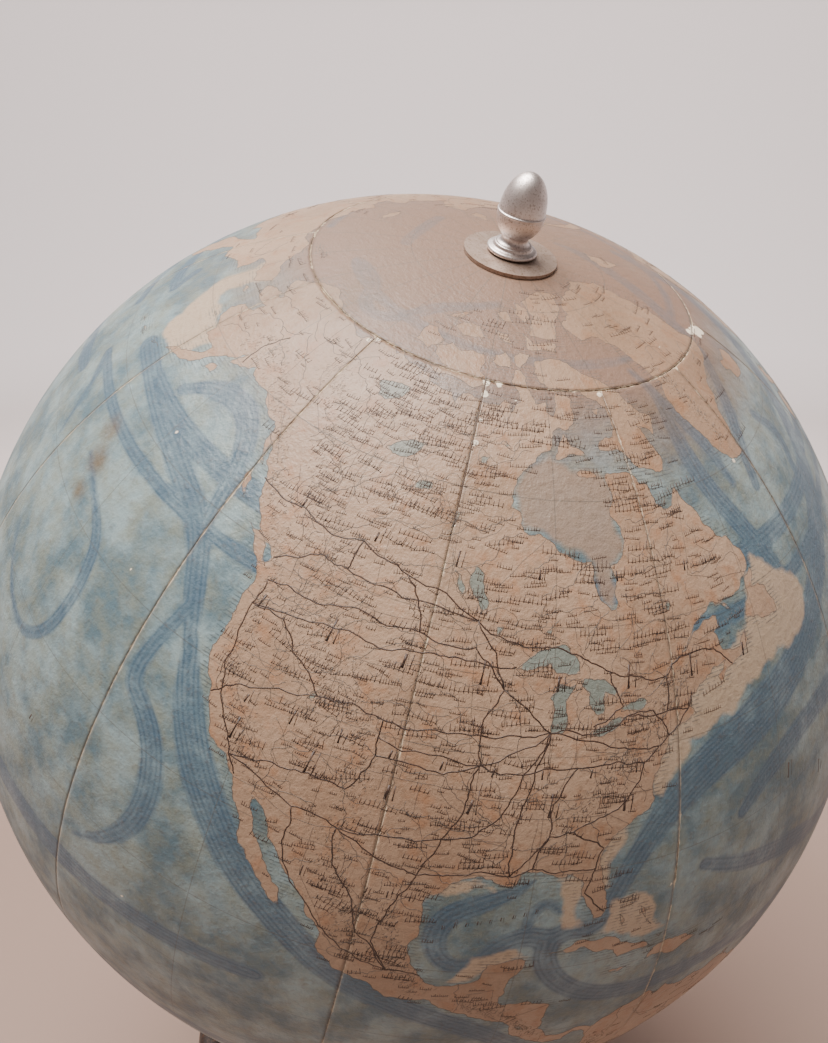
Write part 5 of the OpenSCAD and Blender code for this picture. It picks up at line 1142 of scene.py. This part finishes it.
class GLOBE_OT_print_inks(bpy.types.Operator):
    """Draws the coasts, rivers, borders, railways, hills and name marks as thin strips of ink on the paper"""

    bl_idname = "globe.print_inks"
    bl_label = "Printed lines"

    def execute(self, context):
        grey, brown = plain_finish("grey_printing_ink"), plain_finish("brown_printing_ink")
        width = context.scene.globe_paper.ink_width
        shores = [line for line in MAP["shores"] if len(line)]
        ribbons("ink_coasts", shores, [width] * len(shores), grey)
        wet = [roughen(line, 500 + k, 3, 0.2) for k, line in enumerate(outlines(RIVERS))] + MAP["lakes"]
        ribbons("ink_rivers", wet, [RIVER_W] * len(wet), grey)
        edges = [roughen(line, 700 + k, 4, 0.03) for k, line in enumerate(outlines(BORDERS))]
        ribbons("ink_borders", edges, [BORDER_W] * len(edges), grey)
        rails = [roughen(line, 800 + k, 3, 0.1) for k, line in enumerate(outlines(RAILWAYS))]
        ribbons("ink_railways", rails, [RAILWAY_W] * len(rails), brown)
        glue = [
            evenly(numbers(f"{seam} {low} {seam} {high}"), 0.5)
            for seam, low, high in GLUED_SEAMS
        ]
        ribbons("glue_in_seams", glue, GLUE_WIDTHS, plain_finish("old_hide_glue"), 0.03)
        dice = np.random.default_rng(77)
        marks, thick, feet = [], [], []
        lon = np.concatenate((dice.uniform(-128, -62, 1500), dice.uniform(-180, -20, 260),
                              dice.uniform(-180, 180, 2800)))
        lat = np.concatenate((dice.uniform(15, 69, 1500), dice.uniform(62, 84, 260),
                              np.degrees(np.arcsin(dice.uniform(-0.93, 0.985, 2800)))))
        ashore = sample(MAP["fields"]["coast"], lon, lat)
        for at_lon, at_lat, on_land in zip(lon, lat, ashore):
            if on_land > 0.8 or (on_land > -2.5 and dice.uniform() < 0.35):
                tall = dice.choice((0.75, 1.0, 1.6), p=(0.45, 0.35, 0.2))
                row = label(dice, at_lon, at_lat, dice.normal(0, 0.12), dice.integers(4, 10), tall)
                marks += row
                thick += [0.1 + 0.08 * tall] * len(row)
                feet.append(np.stack([stroke[0] * 0.8 + stroke[1] * 0.2 for stroke in row]))
        for from_lon, from_lat, to_lon, to_lat, count, tall in np.vstack(outlines(BIG_ROWS, 6)):
            for step in np.linspace(0, 1, int(count)):
                at_lon = from_lon + (to_lon - from_lon) * step
                at_lat = from_lat + (to_lat - from_lat) * step
                pair = label(dice, at_lon, at_lat, 0, 2, tall * 0.62)
                stretch = [line[0] + (line[1] - line[0]) * np.array([[0.0], [1.6]]) for line in pair]
                marks += stretch
                thick += [0.2 * tall, 0.09 * tall]
        ribbons("ink_name_marks", marks, thick, brown)
        ribbons("ink_name_lines", feet, [NAME_LINE_W] * len(feet), brown)
        hills = []
        for ridge, reach in zip(outlines(RANGES), RANGE_REACH):
            crest = evenly(rounded(ridge, 2), 0.11)
            for _ in range(3):
                spot = crest + dice.normal(0, reach / 2, crest.shape)
                lean = dice.normal(1.1, 0.45, len(crest))
                size = dice.uniform(0.12, 0.34, len(crest))
                squeeze = np.cos(np.radians(spot[:, 1])).clip(0.2)
                tip = spot + np.stack((size * np.cos(lean) / squeeze, size * np.sin(lean)), 1)
                keep = sample(MAP["fields"]["coast"], spot[:, 0], spot[:, 1]) > 0.3
                hills += list(np.stack((spot, tip), 1)[keep])
        ribbons("ink_hill_strokes", hills, [HILL_W] * len(hills), grey)

        # Small streams: short wandering walks that stay ashore.
        turns = dice.uniform(0, 2 * math.pi, (900, 1)) + np.cumsum(dice.normal(0, 0.45, (900, 18)), 1)
        lat = np.concatenate((dice.uniform(15, 72, 400), dice.uniform(-50, 74, 500)))[:, None]
        lon = np.concatenate((dice.uniform(-130, -60, 400), dice.uniform(-172, 172, 500)))[:, None]
        lat = lat + 0.3 * np.cumsum(np.sin(turns), 1)
        lon = lon + 0.3 * np.cumsum(np.cos(turns), 1) / np.cos(np.radians(lat))
        inland = sample(MAP["fields"]["coast"], lon, lat).min(1) > 0.4
        streams = list(np.stack((lon, lat), 2)[inland])
        ribbons("ink_streams", streams, [STREAM_W] * len(streams), grey)
        return {"FINISHED"}


class GLOBE_OT_finish_core(bpy.types.Operator):
    """Gives the hidden shells, plaster, core and nails their finishes"""

    bl_idname = "globe.finish_core"
    bl_label = "Shells and core"

    def execute(self, context):
        for name in ("papier_mache", "gummed_joint_paper", "raw_beech", "cut_iron", "chalk_plaster"):
            dress(name)
        return {"FINISHED"}


# The metal parts that show, as profiles of radius and height in mm, each standing at its place on the axle.
SHOULDER = 284.05
SEAT_BORE = 1.8
FINIAL_FOOT = 286.05


class GLOBE_OT_turn_metal(bpy.types.Operator):
    """Turns the finial and its stepped seat on the axle's end: profiles carried round the axle"""

    bl_idname = "globe.turn_metal"
    bl_label = "Finial and metal fittings"

    def execute(self, context):
        for name in ("nickelled_brass_worn", "nickel_disc_tarnish_and_painted_reflection", "drawn_steel"):
            dress(name)
        finish = plain_finish("nickelled_brass_worn")
        seat = np.vstack((
            [[SEAT_BORE, 0.01], [5.1, 0.01]], bow(5.1, 0.51, 0.5, -90, 70, 10), [[4.6, 1.05], [4.3, 1.3]],
            bow(3.9, 1.59, 0.4, 0, 90, 8), [[SEAT_BORE, 1.99]],
        ))
        rise = np.linspace(math.acos(3 / 5.2), 0.02, 26)
        cup = np.stack((5.2 * np.cos(rise), 6.4 - 4.8 * np.sin(rise) / math.sin(rise[0])), 1)
        climb = np.radians(np.linspace(0, 88, 34))
        dome = np.stack((5.05 * np.cos(climb), 7.0 + 7.96 * np.sin(climb)), 1)
        nut = np.vstack((
            [[0, 8.0], [SEAT_BORE, 8.0], [SEAT_BORE, 0], [3.7, 0]], bow(4.2, 1.15, 1.25, 246, 172, 10), cup,
            bow(5.0, 6.7, 0.3, -60, 70, 8), dome, [[0, 14.96]],
        ))
        for node, profile, foot in (("finial_seat", seat, SHOULDER), ("finial_nut", nut, FINIAL_FOOT)):
            points, faces = lathe(profile + np.array([0, foot]), 128)
            piece = put(node + "_turned", along_axis(points), faces, finish, "stand")
            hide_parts(node)
        return {"FINISHED"}


class GLOBE_OT_turn_stand(bpy.types.Operator):
    """Gives the turned foot and column of the stand, the felt under it and the leather washer their finishes"""

    bl_idname = "globe.turn_stand"
    bl_label = "Turned stand"

    def execute(self, context):
        for name in ("ebonised_beech_polish", "wool_felt", "oiled_leather"):
            dress(name)
        return {"FINISHED"}


# The main view: its right, up and backward directions, its place from the ball's centre in radii of the
# ball, and its lens in mm.
VIEW_RIGHT = Vector((0.42944, 0.90310, 0.0))
VIEW_UP = Vector((-0.34608, 0.16457, 0.92366))
VIEW_BACK = Vector((0.83415, -0.39665, 0.38321))
VIEW_FROM = Vector((1.60345, -0.76113, 0.98919))
VIEW_LENS = 26.82


class GLOBE_OT_set_stage(bpy.types.Operator):
    """Sets the pale floor that curves up into a wall all round, with painted shade near the middle and on the
    camera's side, the soft lights and the camera
    """

    bl_idname = "globe.set_stage"
    bl_label = "Stage, lights and camera"

    def execute(self, context):
        settings = context.scene.globe_stage
        wall = [[2.4, 2.6], [2.42, 2.6], [2.42, -0.02], [0, -0.02]]
        profile = np.vstack(([[0, 0]], bow(1.5, 0.9, 0.9, -90, 0, 24), wall))
        points, faces = lathe(profile, 96)
        floor_finish, tree, shader = new_finish("matt_floor_with_painted_shade", {"Specular IOR Level": 0.2})
        place = add(tree, "TexCoord", out="Object")
        # Painted shade: the floor is a darker pinkish brown near the middle, under the globe, and goes over to
        # the pale floor tint from 0.35 to 1.9 m out.
        cloud = add(tree, "TexNoise", {"Vector": place, "Scale": 2.0, "Detail": 2.0})
        away = add(tree, "VectorMath", {0: place}, out="Value", operation="LENGTH")
        away = add(tree, "Math", {0: cloud, 1: 0.1, 2: away}, operation="MULTIPLY_ADD")
        share = add(tree, "MapRange", {0: away, 1: 0.35, 2: 1.9})
        near = tint("#a08a7f")
        colour = add(tree, "Mix", {0: share, 6: near, 7: tuple(settings.floor_tint)}, out=2, data_type="RGBA")
        # Painted shade: the floor and wall on the camera's side are darker, in a grey-brown.
        side = add(tree, "VectorMath", {0: place, 1: (0.9, -0.43, 0.0)}, out="Value", operation="DOT_PRODUCT")
        side = add(tree, "MapRange", {0: side, 1: 0.16, 2: 0.8, 3: 0.0, 4: 0.7})
        colour = add(tree, "Mix", {0: side, 6: colour, 7: tint("#8b817b")}, out=2, data_type="RGBA")
        tree.links.new(colour, shader.inputs["Base Color"])
        shader.inputs["Roughness"].default_value = 0.85
        floor = put("pale_floor", points, [f[:, ::-1] for f in faces], floor_finish, None)

        aim = Vector(CENTRE * MM)
        right, up, back = VIEW_RIGHT, VIEW_UP, VIEW_BACK
        lamps = {
            "key_window": ((-0.2, 0.86, 0.46), 1.15, 0.8, settings.key_power, "#fff6f0"),
            "top_soft": ((-0.3, 1.2, -0.1), 1.3, 0.9, settings.key_power * 0.08, "#f8f2f0"),
        }
        for name, (way, away, size, power, colour_code) in lamps.items():
            light = bpy.data.lights.new(name, "AREA")
            light.energy = power
            light.size = size
            light.color = tint(colour_code)[:3]
            lamp = bpy.data.objects.new(name, light)
            direction = (right * way[0] + up * way[1] + back * way[2]).normalized()
            lamp.location = aim + direction * away
            lamp.rotation_euler = direction.to_track_quat("Z", "Y").to_euler()
            lamp.visible_camera = False
            context.scene.collection.objects.link(lamp)

        # A lamp behind the globe that shines away from it, at the wall.
        light = bpy.data.lights.new("wall_wash", "AREA")
        light.energy = settings.wall_power
        light.size = 0.9
        light.color = tint("#fbf6f6")[:3]
        lamp = bpy.data.objects.new("wall_wash", light)
        lamp.location = aim - back * 0.45 + Vector((0, 0, 0.5))
        lamp.rotation_euler = (back + Vector((0, 0, -0.35))).to_track_quat("Z", "Y").to_euler()
        lamp.visible_camera = False
        context.scene.collection.objects.link(lamp)

        world = bpy.data.worlds.new("studio_air")
        world.use_nodes = True
        air = world.node_tree.nodes["Background"]
        air.inputs["Color"].default_value = tint("#f1ecea")
        air.inputs["Strength"].default_value = 0.2
        context.scene.world = world

        lens = bpy.data.cameras.new("main_view")
        lens.lens = VIEW_LENS
        lens.sensor_width = 36.0
        lens.sensor_fit = "AUTO"
        lens.clip_start = 0.01
        lens.dof.use_dof = False
        camera = bpy.data.objects.new("main_view", lens)
        turn = Matrix((right, up, back)).transposed().to_4x4()
        spot = aim + VIEW_FROM * (BALL_R * MM)
        camera.matrix_world = Matrix.Translation(spot) @ turn
        context.scene.collection.objects.link(camera)
        context.scene.camera = camera
        return {"FINISHED"}


class GLOBE_PT_pieces(bpy.types.Panel):
    """Lists the makers of the globe's pieces."""

    bl_label = "Desktop globe"
    bl_idname = "GLOBE_PT_pieces"
    bl_space_type = "VIEW_3D"
    bl_region_type = "UI"
    bl_category = "Globe"

    def draw(self, context):
        for operator in OPERATORS:
            self.layout.operator(operator.bl_idname)
        for group in (context.scene.globe_paper, context.scene.globe_stage):
            for key in group.__annotations__:
                self.layout.prop(group, key)


OPERATORS = (
    GLOBE_OT_print_gores,
    GLOBE_OT_print_caps,
    GLOBE_OT_print_inks,
    GLOBE_OT_finish_core,
    GLOBE_OT_turn_metal,
    GLOBE_OT_turn_stand,
    GLOBE_OT_set_stage,
)
CLASSES = (GlobePaperSettings, GlobeStageSettings, *OPERATORS, GLOBE_PT_pieces)


def register():
    """Registers the classes and hangs the settings on the scene."""
    for kind in CLASSES:
        bpy.utils.register_class(kind)
    bpy.types.Scene.globe_paper = bpy.props.PointerProperty(type=GlobePaperSettings)
    bpy.types.Scene.globe_stage = bpy.props.PointerProperty(type=GlobeStageSettings)


def unregister():
    """Takes the settings and the classes away again."""
    del bpy.types.Scene.globe_stage
    del bpy.types.Scene.globe_paper
    for kind in reversed(CLASSES):
        bpy.utils.unregister_class(kind)


def main():
    """Makes every piece in order."""
    register()
    for operator in OPERATORS:
        group, name = operator.bl_idname.split(".")
        getattr(getattr(bpy.ops, group), name)()


if __name__ == "__main__":
    main()
